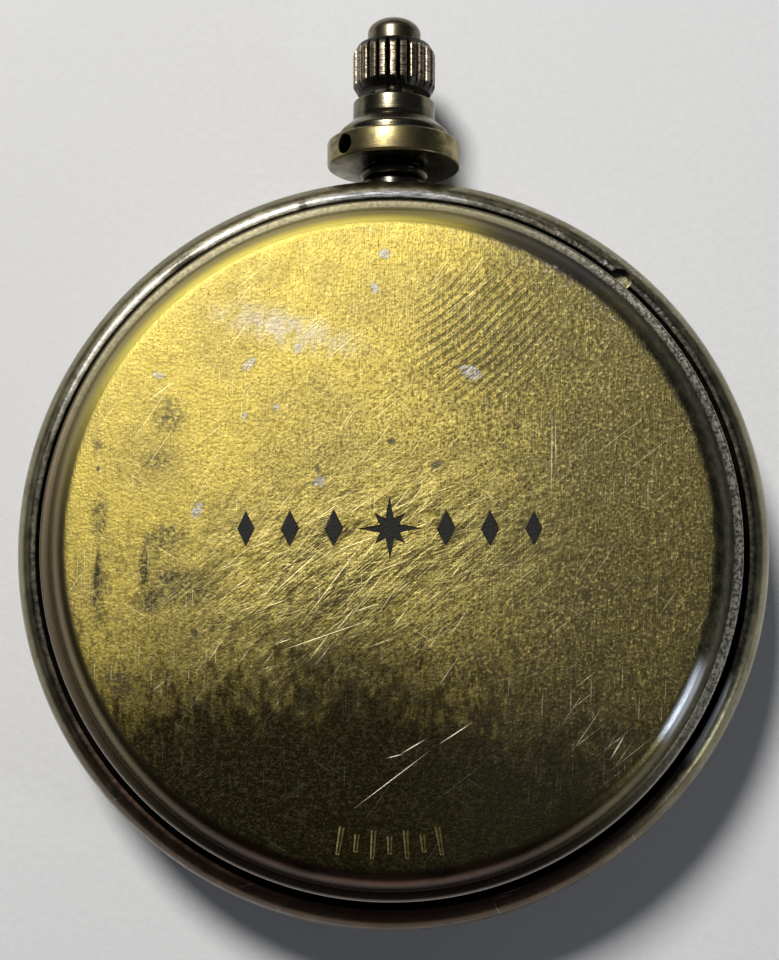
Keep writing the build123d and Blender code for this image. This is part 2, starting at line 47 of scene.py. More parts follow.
# ---- Mesh helpers
def soften(corners, steps=6):
    """Closed outline with each (x, y, radius) corner rounded by its own radius."""
    outline = []
    for place, (x, y, radius) in enumerate(corners):
        here = Vector((x, y))
        if radius == 0:
            outline.append((x, y))
            continue
        before = (Vector(corners[place - 1][:2]) - here).normalized()
        after = (Vector(corners[(place + 1) % len(corners)][:2]) - here).normalized()
        half = before.angle(after) / 2
        start = here + before * radius / tan(half)
        end = here + after * radius / tan(half)
        centre = here + (before + after).normalized() * radius / sin(half)
        first = atan2(start.y - centre.y, start.x - centre.x)
        turn = atan2(end.y - centre.y, end.x - centre.x) - first
        turn = (turn + pi) % tau - pi
        for step in range(steps + 1):
            angle = first + turn * step / steps
            outline.append((centre.x + radius * cos(angle), centre.y + radius * sin(angle)))
    return outline


def dome(radius, edge, top, inwards=True, steps=18):
    """Points of a shallow dome over the axis, from its edge to the middle or back."""
    points = []
    for step in range(steps + 1):
        share = 1 - step / steps
        points.append((radius * share, top - (top - edge) * share**2))
    return points if inwards else points[::-1]


def new_object(name, data):
    """New object in the scene."""
    thing = bpy.data.objects.new(name, data)
    bpy.context.scene.collection.objects.link(thing)
    return thing


def mesh_as_seen(thing):
    """New mesh of an object with its modifiers or its text worked out."""
    bpy.context.view_layer.update()
    return bpy.data.meshes.new_from_object(thing.evaluated_get(bpy.context.evaluated_depsgraph_get()))


def object_from(name, mesh_source):
    """New object in the scene from a bmesh."""
    mesh = bpy.data.meshes.new(name)
    mesh_source.to_mesh(mesh)
    mesh_source.free()
    return new_object(name, mesh)


def stem_point(radius, along, angle):
    """Point round the pendant's axis; angle 0 is towards +X, 90 degrees is up."""
    return Vector((radius * cos(angle), along, stem_height + radius * sin(angle))) * mm


def case_point(radius, height, angle):
    """Point round the case's axis."""
    return Vector((radius * cos(angle), radius * sin(angle), height)) * mm


def skin(name, rings):
    """Closed surface through rings of points, the last joined to the first; one point makes a pole."""
    bm = bmesh.new()
    loops = [[bm.verts.new(point) for point in ring] for ring in rings]
    for low, high in zip(loops, loops[1:] + loops[:1]):
        count = max(len(low), len(high))
        if count == 1:
            continue
        for step in range(count):
            after = (step + 1) % count
            if len(low) == 1:
                bm.faces.new((low[0], high[after], high[step]))
            elif len(high) == 1:
                bm.faces.new((low[step], low[after], high[0]))
            else:
                bm.faces.new((low[step], low[after], high[after], high[step]))
    bmesh.ops.recalc_face_normals(bm, faces=bm.faces)
    return object_from(name, bm)


def lathe(name, outline, point=case_point, turns=around):
    """Turn a closed outline of (radius, height) points about an axis."""
    rings = []
    for radius, height in outline:
        count = turns if radius > 1e-6 else 1
        rings.append([point(radius, height, tau * step / count) for step in range(count)])
    return skin(name, rings)


def prism(name, low_outline, high_outline, low, high, place=Matrix()):
    """Solid between two outlines of (x, y) points at two heights."""
    bm = bmesh.new()
    floor = [bm.verts.new(place @ (Vector((x, y, low)) * mm)) for x, y in low_outline]
    roof = [bm.verts.new(place @ (Vector((x, y, high)) * mm)) for x, y in high_outline]
    count = len(floor)
    for step in range(count):
        after = (step + 1) % count
        bm.faces.new((floor[step], floor[after], roof[after], roof[step]))
    bm.faces.new(floor[::-1])
    bm.faces.new(roof)
    bmesh.ops.recalc_face_normals(bm, faces=bm.faces)
    return object_from(name, bm)


def circle(radius):
    """Outline of a circle."""
    steps = 48
    angles = [tau * step / steps for step in range(steps)]
    return [(radius * cos(angle), radius * sin(angle)) for angle in angles]


def rectangle(width, height):
    """Outline of a rectangle about the origin."""
    x, y = width / 2, height / 2
    return [(-x, -y), (x, -y), (x, y), (-x, y)]


def at(x=0.0, y=0.0, turn=0.0):
    """Placement turned about Z, in millimetres and degrees."""
    return Matrix.Translation(Vector((x, y, 0.0)) * mm) @ Matrix.Rotation(radians(turn), 4, "Z")


def straight(name, outline, low, high, place=Matrix()):
    """Solid with the same outline at both heights."""
    return prism(name, outline, outline, low, high, place)


def cut(piece, *cutters):
    """Take cutters away from a piece."""
    for cutter in cutters:
        change = piece.modifiers.new("cut", "BOOLEAN")
        change.operation = "DIFFERENCE"
        change.solver = "EXACT"
        change.object = cutter
        mesh = mesh_as_seen(piece)
        piece.modifiers.clear()
        piece.data = mesh
        bpy.data.objects.remove(cutter)


def settle(piece, body, material, slot, *nodes, sharp=32):
    """Shade a piece, give it its material and put it on its body in place of CAD nodes."""
    piece.data.shade_smooth()
    piece.data.set_sharp_from_angle(angle=radians(sharp))
    piece.data.materials.clear()
    piece.data.materials.append(material)
    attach(piece, body)
    if nodes:
        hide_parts(*nodes)


def zone(piece, material, inside):
    """Give another material to the faces of a piece that pass a test of middle and normal."""
    place = len(piece.data.materials)
    piece.data.materials.append(material)
    for face in piece.data.polygons:
        if inside(face.center / mm, face.normal):
            face.material_index = place


def dress(material, *nodes):
    """Give CAD nodes that stay a material."""
    for node in nodes:
        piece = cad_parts[node]
        for place in piece.material_slots:
            place.link = "OBJECT"
            place.material = material


# ---- Material helper
class Finish:
    """A procedural material made of layers, with places in millimetres."""

    def __init__(self, name, metallic=1.0):
        self.material = bpy.data.materials.new(name)
        self.material.use_nodes = True
        self.tree = self.material.node_tree
        self.shader = self.tree.nodes["Principled BSDF"]
        self.shader.inputs["Metallic"].default_value = metallic
        metres = self.add("TexCoord").outputs["Object"]
        scaled = self.add("VectorMath", {"operation": "SCALE"}, Vector=metres, Scale=1000)
        self.place = scaled.outputs[0]
        split = self.add("SeparateXYZ")
        self.feed(split.inputs[0], self.place)
        self.x, self.y, self.z = split.outputs
        flat = self.plus(self.times(self.x, self.x), self.times(self.y, self.y))
        self.radius = self.calc("SQRT", flat)
        self.colour = None
        self.relief = None

    def add(self, kind, settings=None, **inputs):
        """New node with its settings and the values or links of its inputs."""
        node = self.tree.nodes.new("ShaderNode" + kind)
        for key, value in (settings or {}).items():
            setattr(node, key, value)
        for key, value in inputs.items():
            self.feed(node.inputs[key.replace("_", " ")], value)
        return node

    def feed(self, socket, value):
        """Link a socket to another one, or give it a number."""
        if isinstance(value, bpy.types.NodeSocket):
            self.tree.links.new(value, socket)
        else:
            socket.default_value = value

    def calc(self, operation, *values):
        """One sum in a Math node."""
        node = self.add("Math", {"operation": operation})
        for socket, value in zip(node.inputs, values):
            self.feed(socket, value)
        return node.outputs[0]

    def many(self, operation, *values):
        """The same sum over two or more values."""
        total = values[0]
        for value in values[1:]:
            total = self.calc(operation, total, value)
        return total

    def times(self, *values):
        return self.many("MULTIPLY", *values)

    def plus(self, *values):
        return self.many("ADD", *values)

    def most(self, *values):
        return self.many("MAXIMUM", *values)

    def minus(self, first, second):
        return self.calc("SUBTRACT", first, second)

    def fit(self, value, low, high, new_low=0.0, new_high=1.0):
        """Map low..high smoothly onto new_low..new_high, and stop there."""
        node = self.add("MapRange", {"interpolation_type": "SMOOTHSTEP"})
        for socket, number in zip(node.inputs, (value, low, high, new_low, new_high)):
            self.feed(socket, number)
        return node.outputs[0]

    def local(self, centre=(0, 0, 0), turn=0.0, size=(1, 1, 1)):
        """Coordinates about a centre, turned about Z in degrees, in units of size."""
        node = self.add("Mapping", {"vector_type": "TEXTURE"}, Vector=self.place,
                        Location=centre, Rotation=(0, 0, radians(turn)), Scale=size)
        return node.outputs[0]

    def warped(self, vector, scale, amount):
        """Coordinates pushed about by noise."""
        push = self.add("TexNoise", Vector=self.place, Scale=scale, Detail=1.0)
        moved = self.add("VectorMath", {"operation": "MULTIPLY_ADD"})
        self.feed(moved.inputs[0], push.outputs["Color"])
        moved.inputs[1].default_value = (amount, amount, amount)
        self.feed(moved.inputs[2], vector)
        return moved.outputs[0]

    def noise(self, vector, scale=1.0, detail=2.0, rough=0.5):
        """Smooth noise between 0 and 1."""
        node = self.add("TexNoise", Vector=vector, Scale=scale, Detail=detail, Roughness=rough)
        return node.outputs["Fac"]

    def grit(self, scale, detail, rough=0.5):
        """Noise at the object's own places, in lumps to the millimetre."""
        return self.noise(self.place, scale, detail, rough)

    def cells(self, vector, scale=1.0):
        """Distance to the nearest of many scattered points, and a random number for each."""
        node = self.add("TexVoronoi", Vector=vector, Scale=scale)
        return node.outputs["Distance"], self.along(node.outputs["Color"], (1, 0, 0))

    def along(self, vector, axis):
        """Part of a vector along an axis."""
        node = self.add("VectorMath", {"operation": "DOT_PRODUCT"}, Vector=vector)
        node.inputs[1].default_value = axis
        return node.outputs["Value"]

    def scratches(self, turn, length, width, share, bend, seed):
        """Thin straight scratches, all close to one direction."""
        vector = self.local((seed, seed * 1.7, 0), turn, (length * 3, width * 4, 1e6))
        vector = self.warped(vector, 0.15, bend)
        distance, chance = self.cells(vector)
        line = self.fit(distance, 0.17, 0.06)
        return self.times(line, self.fit(chance, 1 - share, 1 - share + 0.1))

    def patch(self, centre, size, turn, soft):
        """1 inside an ellipse, fading to 0 at its edge."""
        node = self.add("VectorMath", {"operation": "LENGTH"})
        self.feed(node.inputs[0], self.local((*centre, 0), turn, (*size, 1e6)))
        return self.fit(node.outputs["Value"], 1.0, 1.0 - soft)

    def line(self, start, end, width):
        """1 along one scratch given by its ends."""
        (x0, y0), (x1, y1) = start, end
        length = hypot(x1 - x0, y1 - y0)
        turn = degrees(atan2(y1 - y0, x1 - x0))
        return self.patch(((x0 + x1) / 2, (y0 + y1) / 2), (length / 2, width / 2), turn, soft=0.8)

    def patches(self, *each):
        """1 inside any of several ellipses."""
        return self.most(*[self.patch(*facts) for facts in each])

    def tangle(self, *each):
        """Several sets of scratches, each with its own direction."""
        return self.most(*[self.scratches(*facts) for facts in each])

    def lines(self, *each):
        """1 along any of several listed scratches."""
        return self.most(*[self.line(*facts) for facts in each])

    def ring(self, low, high, soft):
        """1 between two radii."""
        rise = self.fit(self.radius, low - soft, low + soft)
        return self.times(rise, self.fit(self.radius, high + soft, high - soft))

    def towards(self, angle, spread):
        """1 on the side of the case at an angle in degrees, fading out over spread degrees."""
        x, y = cos(radians(angle)), sin(radians(angle))
        dot = self.plus(self.times(self.x, x), self.times(self.y, y))
        cosine = self.calc("DIVIDE", dot, self.most(self.radius, 0.01))
        return self.fit(cosine, cos(radians(spread)), cos(radians(spread * 0.3)))

    def mix(self, factor, first, second):
        """First colour where the factor is 0, second where it is 1."""
        node = self.add("Mix", {"data_type": "RGBA"})
        self.feed(node.inputs[0], factor)
        self.tint(node.inputs[6], first)
        self.tint(node.inputs[7], second)
        return node.outputs[2]

    def lay(self, factor, colour, strength=None):
        """Lay a colour over the ones so far, where the factor is above 0."""
        if strength is not None:
            factor = self.times(factor, strength)
        self.colour = self.mix(factor, self.colour, colour)

    def bump(self, height, depth):
        """Raise the surface by height times depth in millimetres."""
        raised = self.times(height, depth)
        self.relief = raised if self.relief is None else self.plus(self.relief, raised)

    def tint(self, socket, colour):
        """Link a colour socket to another one, or give it a plain colour."""
        self.feed(socket, (*colour, 1) if isinstance(colour, tuple) else colour)

    def done(self, roughness, **constants):
        """Link the finished layers to the shader and give back the material."""
        self.tint(self.shader.inputs["Base Color"], self.colour)
        self.feed(self.shader.inputs["Roughness"], roughness)
        if self.relief is not None:
            node = self.add("Bump", Height=self.relief, Distance=mm)
            self.feed(self.shader.inputs["Normal"], node.outputs[0])
        for key, value in constants.items():
            self.shader.inputs[key.replace("_", " ")].default_value = value
        return self.material


def shade(colour, strength):
    """Colour made darker or lighter."""
    return tuple(strength * part for part in colour)


# ---- Materials
def cover_brass():
    """Brushed yellow brass: painted shade to the right and the lower side, tarnish, fingerprint, silvery
    smears and scratches.
    """
    look = Finish("cover_brass")
    flat = look.fit(look.radius, 18.9, 18.5)
    grain = look.noise(look.local(size=(0.085, 1.0, 1e6)), detail=3.0, rough=0.65)
    speckle = look.grit(5.6, 3.0, 0.66)
    pebble = look.noise(look.warped(look.place, 2.2, 0.3), 2.7, 2.0, 0.5)
    cloud = look.grit(0.16, 4.0, 0.6)
    mottle = look.noise(look.warped(look.local(size=(0.8, 1.3, 1e6)), 0.5, 0.6), 1.3, 6.0, 0.72)
    uneven = look.minus(mottle, 0.5)
    drift = look.minus(look.grit(0.2, 5.0, 0.68), 0.5)

    look.colour = look.mix(look.fit(cloud, 0.35, 0.65), (0.5, 0.395, 0.092), (0.385, 0.305, 0.086))
    tall = look.minus(look.noise(look.local(size=(0.32, 1.3, 1e6)), detail=4.0, rough=0.7), 0.5)
    # Painted shade darkens the brass to olive towards the right, in upright streaks.
    right_shade = look.minus(look.x, look.times(look.y, 0.06))
    right_shade = look.plus(right_shade, look.times(drift, 9.0))
    right_shade = look.plus(look.fit(right_shade, -2.5, 12.0), look.times(uneven, 0.6), look.times(tall, 1.5))
    look.lay(look.fit(right_shade, 0.05, 1.0, 0.0, 0.8), (0.092, 0.081, 0.044))
    # Painted shade makes it nearly black at the lower side, with an uneven fine-grained edge.
    aside = look.most(look.minus(look.calc("ABSOLUTE", look.plus(look.x, 4.0)), 2.0), 0.0)
    south_shade = look.plus(look.y, look.times(aside, 0.34), look.times(drift, 6.0))
    south_shade = look.calc("DIVIDE", look.minus(-0.1, south_shade), 10.6)
    south_shade = look.plus(south_shade, look.times(uneven, 1.3), look.times(tall, 0.8))
    bottom_shade = look.fit(south_shade, 0.02, 0.92, 0.0, 0.98)
    deep_shade = look.mix(look.fit(look.x, -2.0, 9.0), (0.005, 0.0045, 0.002), (0.028, 0.025, 0.015))
    look.lay(bottom_shade, deep_shade)
    # Dark stains on the left, with darker outlines.
    stains = look.patches(
        ((-12.8, 0.5), (1.7, 1.0), 12, 0.5), ((-11.8, -2.4), (2.4, 1.5), -4, 0.5),
        ((-16.6, 1.6), (0.7, 1.9), 0, 0.7), ((-16.7, -2.6), (0.6, 2.4), -3, 0.7),
        ((-13.3, 4.9), (1.6, 0.9), 0, 0.9), ((-12.6, 7.4), (1.6, 1.8), 0, 0.9),
        ((-16.8, 5.8), (0.6, 1.0), 0, 0.9), ((-15.4, -7.6), (1.2, 1.6), 20, 0.8),
    )
    outlines = look.patches(
        ((-14.0, -1.4), (0.42, 2.0), 0, 0.7), ((-13.6, -3.2), (0.62, 0.95), 0, 0.6),
        ((-12.6, -1.8), (0.8, 0.45), 20, 0.7), ((-16.7, -1.6), (0.26, 2.6), -3, 0.8),
    )
    bite = look.grit(3.2, 5.0, 0.75)
    stained = look.times(stains, look.fit(bite, 0.42, 0.56, 0.12, 1.0))
    look.lay(stained, (0.078, 0.072, 0.044), 0.86)
    outlined = look.times(outlines, look.fit(bite, 0.36, 0.52, 0.2, 1.0))
    look.lay(outlined, (0.026, 0.026, 0.022), 0.94)
    # Fine dark and light speckle over everything.
    rough = look.fit(look.minus(look.x, look.times(look.y, 0.8)), -20.0, 3.0, 0.3, 1.0)
    rough = look.times(rough, look.fit(look.x, 3.0, 12.0, 1.0, 0.8))
    dark_specks = look.times(look.fit(speckle, 0.51, 0.38, 0.0, 0.85), rough)
    look.lay(dark_specks, (0.05, 0.04, 0.015))
    # Light flecks, dimmed by the painted shade at the lower side.
    flecks = look.mix(bottom_shade, (0.8, 0.67, 0.24), (0.024, 0.021, 0.012))
    look.lay(look.times(look.fit(speckle, 0.55, 0.68, 0.0, 0.65), rough), flecks)
    look.lay(look.fit(grain, 0.55, 0.72, 0.0, 0.34), flecks)
    look.lay(look.fit(grain, 0.44, 0.3, 0.0, 0.4), (0.06, 0.048, 0.02))
    # Fine swirling lines left by years of rubbing.
    middle = look.patch((-2.0, -1.6), (15.5, 9.5), 22, 0.9)
    broad = look.warped(look.local((2, 5, 0), 33, (4.2, 0.55, 1e6)), 0.25, 3.0)
    broad = look.noise(broad, detail=3.0, rough=0.6)
    look.lay(look.times(middle, look.fit(broad, 0.52, 0.38)), (0.085, 0.07, 0.03), 0.85)
    dull_spots = look.times(
        look.fit(mottle, 0.5, 0.38),
        look.fit(look.y, 4.0, -4.0, 0.1, 0.6),
        look.fit(bottom_shade, 0.4, 0.8, 1.0, 0.0),
    )
    look.lay(dull_spots, (0.06, 0.052, 0.026))
    look.lay(look.times(middle, look.fit(broad, 0.52, 0.68)), flecks, 0.42)
    swirl = look.warped(look.local(turn=40, size=(1.7, 0.075, 1e6)), 0.35, 5.0)
    swirl = look.noise(swirl, detail=2.0, rough=0.6)
    second = look.warped(look.local((3, 1, 0), 14, (1.5, 0.08, 1e6)), 0.45, 5.0)
    second = look.noise(second, detail=2.0, rough=0.6)
    look.lay(look.times(middle, look.fit(swirl, 0.55, 0.63)), flecks, 0.85)
    look.lay(look.times(middle, look.fit(second, 0.56, 0.64)), flecks, 0.75)
    look.lay(look.times(middle, look.fit(swirl, 0.48, 0.38)), (0.06, 0.048, 0.02), 0.7)
    look.lay(look.times(middle, look.fit(second, 0.45, 0.34)), (0.06, 0.048, 0.02), 0.45)
    lumps = look.times(look.fit(bite, 0.52, 0.6), bottom_shade, 0.7)
    look.lay(lumps, (0.062, 0.054, 0.026))
    # Pale smear above the marks.
    smear = look.times(look.patch((-5.9, 12.4), (6.4, 1.5), -15, 0.9), look.fit(mottle, 0.36, 0.58))
    look.lay(smear, (0.43, 0.39, 0.33), 0.66)
    # Fingerprint: rows of short dark dashes.
    ridge_pitch = 0.46
    across = look.along(look.warped(look.local((5.7, 13.0, 0), 42), 0.09, 2.4), (0, 1, 0))
    ridges = look.calc("SINE", look.times(across, tau / ridge_pitch))
    dashes = look.noise(look.local(turn=80, size=(0.34, 0.2, 1e6)), detail=1.0)
    touched = look.patch((5.4, 12.2), (5.4, 5.0), 30, 0.55)
    touched = look.times(touched, look.fit(dashes, 0.36, 0.5, 0.25, 1.0))
    touched = look.times(touched, look.fit(ridges, -0.2, 0.5))
    look.lay(touched, (0.095, 0.08, 0.036), 0.74)
    # Silvery specks with dark edges, and dark pits.
    flakes = look.patches(
        ((-0.3, 16.8), (0.48, 0.36), 0, 0.6), ((-0.9, 14.8), (0.26, 0.44), 20, 0.6),
        ((-8.1, 10.4), (0.68, 0.3), 42, 0.6), ((-5.3, 11.3), (0.26, 0.4), 0, 0.6),
        ((-13.3, 9.8), (0.44, 0.26), -15, 0.6), ((4.6, 9.9), (0.95, 0.5), -20, 0.7),
        ((-11.0, 2.0), (0.34, 0.62), -28, 0.5), ((-4.0, 3.6), (0.5, 0.5), 0, 0.8),
        ((-8.3, 7.4), (0.26, 0.3), 0, 0.7), ((-6.5, 7.9), (0.22, 0.26), 0, 0.7),
    )
    halo = look.fit(flakes, 0.0, 0.25)
    broken = look.fit(look.grit(4.6, 4.0, 0.8), 0.4, 0.56)
    flakes = look.times(look.fit(flakes, 0.2, 0.6), broken)
    look.lay(halo, (0.08, 0.074, 0.05), 0.26)
    look.lay(flakes, (0.4, 0.4, 0.415), 0.8)
    pits = look.patches(
        ((0.1, 5.9), (0.34, 0.26), 0, 0.6), ((2.65, 4.6), (0.5, 0.3), 20, 0.6),
        ((-11.1, -5.0), (0.26, 0.34), 30, 0.5), ((-4.1, 4.3), (0.3, 0.42), 20, 0.8),
        ((-16.7, 4.4), (0.16, 0.2), 0, 0.6),
    )
    pits = look.times(pits, look.fit(speckle, 0.4, 0.52, 0.4, 1.0))
    look.lay(pits, (0.045, 0.048, 0.04), 0.9)
    # Scratches: a dense fine field round the middle, loose ones everywhere, a few long ones.
    dense = look.tangle(
        (52, 2.0, 0.06, 0.9, 0.8, 1.3), (35, 1.7, 0.06, 0.9, 1.0, 7.9),
        (20, 2.2, 0.056, 0.8, 0.9, 3.1),
    )
    dark_lines = look.tangle(
        (44, 1.5, 0.05, 0.9, 1.0, 21.4), (28, 1.2, 0.05, 0.9, 1.0, 26.3),
    )
    loose = look.tangle(
        (56, 3.0, 0.06, 0.45, 0.6, 5.3), (38, 3.4, 0.056, 0.4, 0.6, 10.2),
        (-32, 2.4, 0.05, 0.25, 0.5, 18.9), (88, 1.8, 0.05, 0.6, 0.2, 9.1),
    )
    long_ones = look.lines(
        ((9.15, 2.2), (9.25, 8.2), 0.13), ((9.45, 3.6), (9.4, 8.0), 0.09),
        ((-0.3, -12.1), (0.9, -11.8), 0.08), ((0.5, -11.9), (2.2, -10.9), 0.09),
        ((-2.4, -15.2), (2.6, -11.4), 0.07), ((2.6, -11.4), (4.9, -9.9), 0.09),
        ((-6.8, -6.2), (-0.4, -4.0), 0.07), ((-7.6, -3.6), (-3.2, 0.4), 0.09),
        ((-5.4, -5.0), (-1.0, 0.9), 0.09), ((-14.0, 8.2), (-12.2, 9.6), 0.12),
        ((12.4, -12.3), (13.4, -10.6), 0.14),
    )
    clean = look.fit(bottom_shade, 0.25, 0.95, 1.0, 0.1)
    worn = look.most(
        look.times(dense, look.fit(middle, 0.0, 1.0, 0.1, 1.0), clean),
        look.times(loose, 0.55, look.fit(bottom_shade, 0.3, 0.95, 1.0, 0.12)),
        long_ones,
    )
    worn = look.times(worn, flat)
    dull = look.times(dark_lines, look.fit(middle, 0.0, 1.0, 0.15, 0.75))
    look.lay(dull, (0.085, 0.068, 0.028))
    # Bare metal in the scratches, its colour following the painted shade: gold at the left, olive at the
    # right, pale at the lower side.
    scratch_and_shade_colour = look.mix(look.fit(right_shade, 0.1, 1.0), (0.98, 0.85, 0.4), (0.48, 0.44, 0.27))
    scratch_and_shade_colour = look.mix(bottom_shade, scratch_and_shade_colour, (0.9, 0.86, 0.7))
    look.lay(worn, scratch_and_shade_colour, 0.95)
    # The edge of the plate turns into the shoulder's painted light and shade, raggedly on the right.
    ragged = look.plus(look.radius, look.times(look.towards(15, 75), 0.18))
    ragged = look.plus(ragged, look.times(uneven, 1.2))
    look.lay(look.fit(look.most(ragged, look.radius), 18.45, 18.8), shoulder_colour(look))
    drips = look.times(look.ring(17.9, 18.7, 0.25), look.towards(62, 30))
    drips = look.times(drips, look.fit(look.grit(3.4, 4.0, 0.8), 0.58, 0.64))
    look.lay(drips, (0.48, 0.44, 0.38), 0.7)

    roughness = look.fit(look.grit(0.8, 4.0, 0.65), 0.3, 0.7, 0.49, 0.55)
    roughness = look.plus(roughness, look.times(worn, 0.06))
    glossy = look.minus(1.0, look.towards(80, 135))
    glossy = look.times(glossy, look.fit(look.radius, 18.5, 18.85, 0.0, 0.2))
    roughness = look.minus(roughness, glossy)
    look.bump(look.times(pebble, flat), 0.016)
    look.bump(look.times(speckle, flat), 0.03)
    look.bump(look.times(grain, flat), 0.018)
    look.bump(look.times(touched, flat, -1.0), 0.014)
    look.bump(look.minus(look.times(worn, -1.0), pits), 0.008)
    return look.done(roughness)


def shoulder_colour(look):
    """Painted light on the shoulder: a yellow painted highlight at the upper left, painted shade on the
    right, a reddish painted reflection at six o'clock, one white painted highlight.
    """
    # Painted highlight: yellow at the upper left, olive further out.
    painted_glow = look.mix(look.towards(122, 52), (0.44, 0.355, 0.09), (0.78, 0.66, 0.16))
    colour = look.mix(look.fit(look.radius, 19.00, 19.35), painted_glow, (0.48, 0.41, 0.17))
    # Painted shade: darker to the lower left and near black at six o'clock.
    colour = look.mix(look.towards(205, 58), colour, (0.19, 0.152, 0.068))
    colour = look.mix(look.towards(268, 64), colour, (0.05, 0.03, 0.02))
    # Painted shade on the right side, mottled dark olive.
    shaded_olive = look.fit(look.grit(1.3, 5.0, 0.75), 0.42, 0.62)
    shaded_olive = look.mix(shaded_olive, (0.026, 0.027, 0.022), (0.085, 0.076, 0.042))
    colour = look.mix(look.times(look.towards(8, 80), 0.97), colour, shaded_olive)
    # Painted dark bluish shade at 62 degrees.
    colour = look.mix(look.times(look.towards(62, 16), 0.7), colour, (0.024, 0.026, 0.046))
    # Painted reddish reflection at six o'clock.
    warm_reflection = look.fit(look.grit(0.35, 2.0, 0.5), 0.36, 0.6)
    warm_reflection = look.times(warm_reflection, look.towards(268, 30), look.ring(18.75, 19.35, 0.2))
    colour = look.mix(look.times(warm_reflection, 0.7), colour, (0.2, 0.1, 0.07))
    # Painted white highlight at -28 degrees.
    highlight_streak = look.times(look.towards(-28, 9), look.ring(18.6, 19.3, 0.12))
    return look.mix(look.times(highlight_streak, 0.9), colour, (0.62, 0.64, 0.66))


def cover_rim():
    """Shoulder, lip and skirt of the back cover: painted light and shade by side, with a rubbed speckled
    lip.
    """
    look = Finish("cover_rim")
    fine = look.grit(5.5, 5.0, 0.75)
    look.colour = shoulder_colour(look)
    # Lip colour by side, partly rubbed wear and partly painted light: rubbed silvery speckle on the right,
    # tan on the left, painted shade near black at six o'clock.
    lip = look.times(look.fit(look.radius, 19.78, 19.9), look.fit(look.z, 10.5, 10.62))
    rubbed = look.mix(look.fit(fine, 0.44, 0.56), (0.115, 0.108, 0.082), (0.52, 0.495, 0.41))
    edge = look.mix(look.fit(fine, 0.4, 0.66), (0.2, 0.18, 0.112), (0.14, 0.122, 0.075))
    edge = look.mix(look.towards(12, 66), edge, rubbed)
    edge = look.mix(look.towards(192, 44), edge, (0.18, 0.14, 0.088))
    edge = look.mix(look.towards(265, 66), edge, (0.034, 0.023, 0.017))
    look.lay(lip, edge)
    # Painted highlight along the lip's outer edge on the lower half.
    lip_edge_highlight = look.times(lip, look.fit(look.radius, 20.22, 20.32), look.towards(255, 90))
    look.lay(lip_edge_highlight, (0.56, 0.5, 0.42), 0.85)
    specks = look.times(look.fit(fine, 0.62, 0.68), look.towards(-25, 60), 0.6)
    look.lay(specks, (0.34, 0.33, 0.3))
    # Painted light on the skirt: lighter towards the upper left, painted shade elsewhere.
    skirt = look.mix(look.towards(112, 50), (0.05, 0.045, 0.036), (0.3, 0.265, 0.16))
    look.lay(look.fit(look.z, 10.2, 10.0, 0.0, 0.9), skirt)
    roughness = look.plus(look.fit(fine, 0.3, 0.7, 0.24, 0.32), look.times(lip, 0.22))
    satin = look.times(look.towards(80, 135), look.fit(look.radius, 19.75, 19.65, 0.0, 0.32))
    roughness = look.plus(roughness, satin)
    look.bump(fine, 0.012)
    return look.done(roughness)


def stamped_edge():
    """Bright burr round the stamped marks, lightened as a painted highlight."""
    look = Finish("stamped_edge")
    fine = look.grit(5.0, 4.0, 0.7)
    look.colour = look.mix(look.fit(fine, 0.4, 0.62), (0.74, 0.66, 0.4), (0.33, 0.27, 0.11))
    look.bump(fine, 0.01)
    return look.done(look.fit(fine, 0.3, 0.7, 0.34, 0.46))


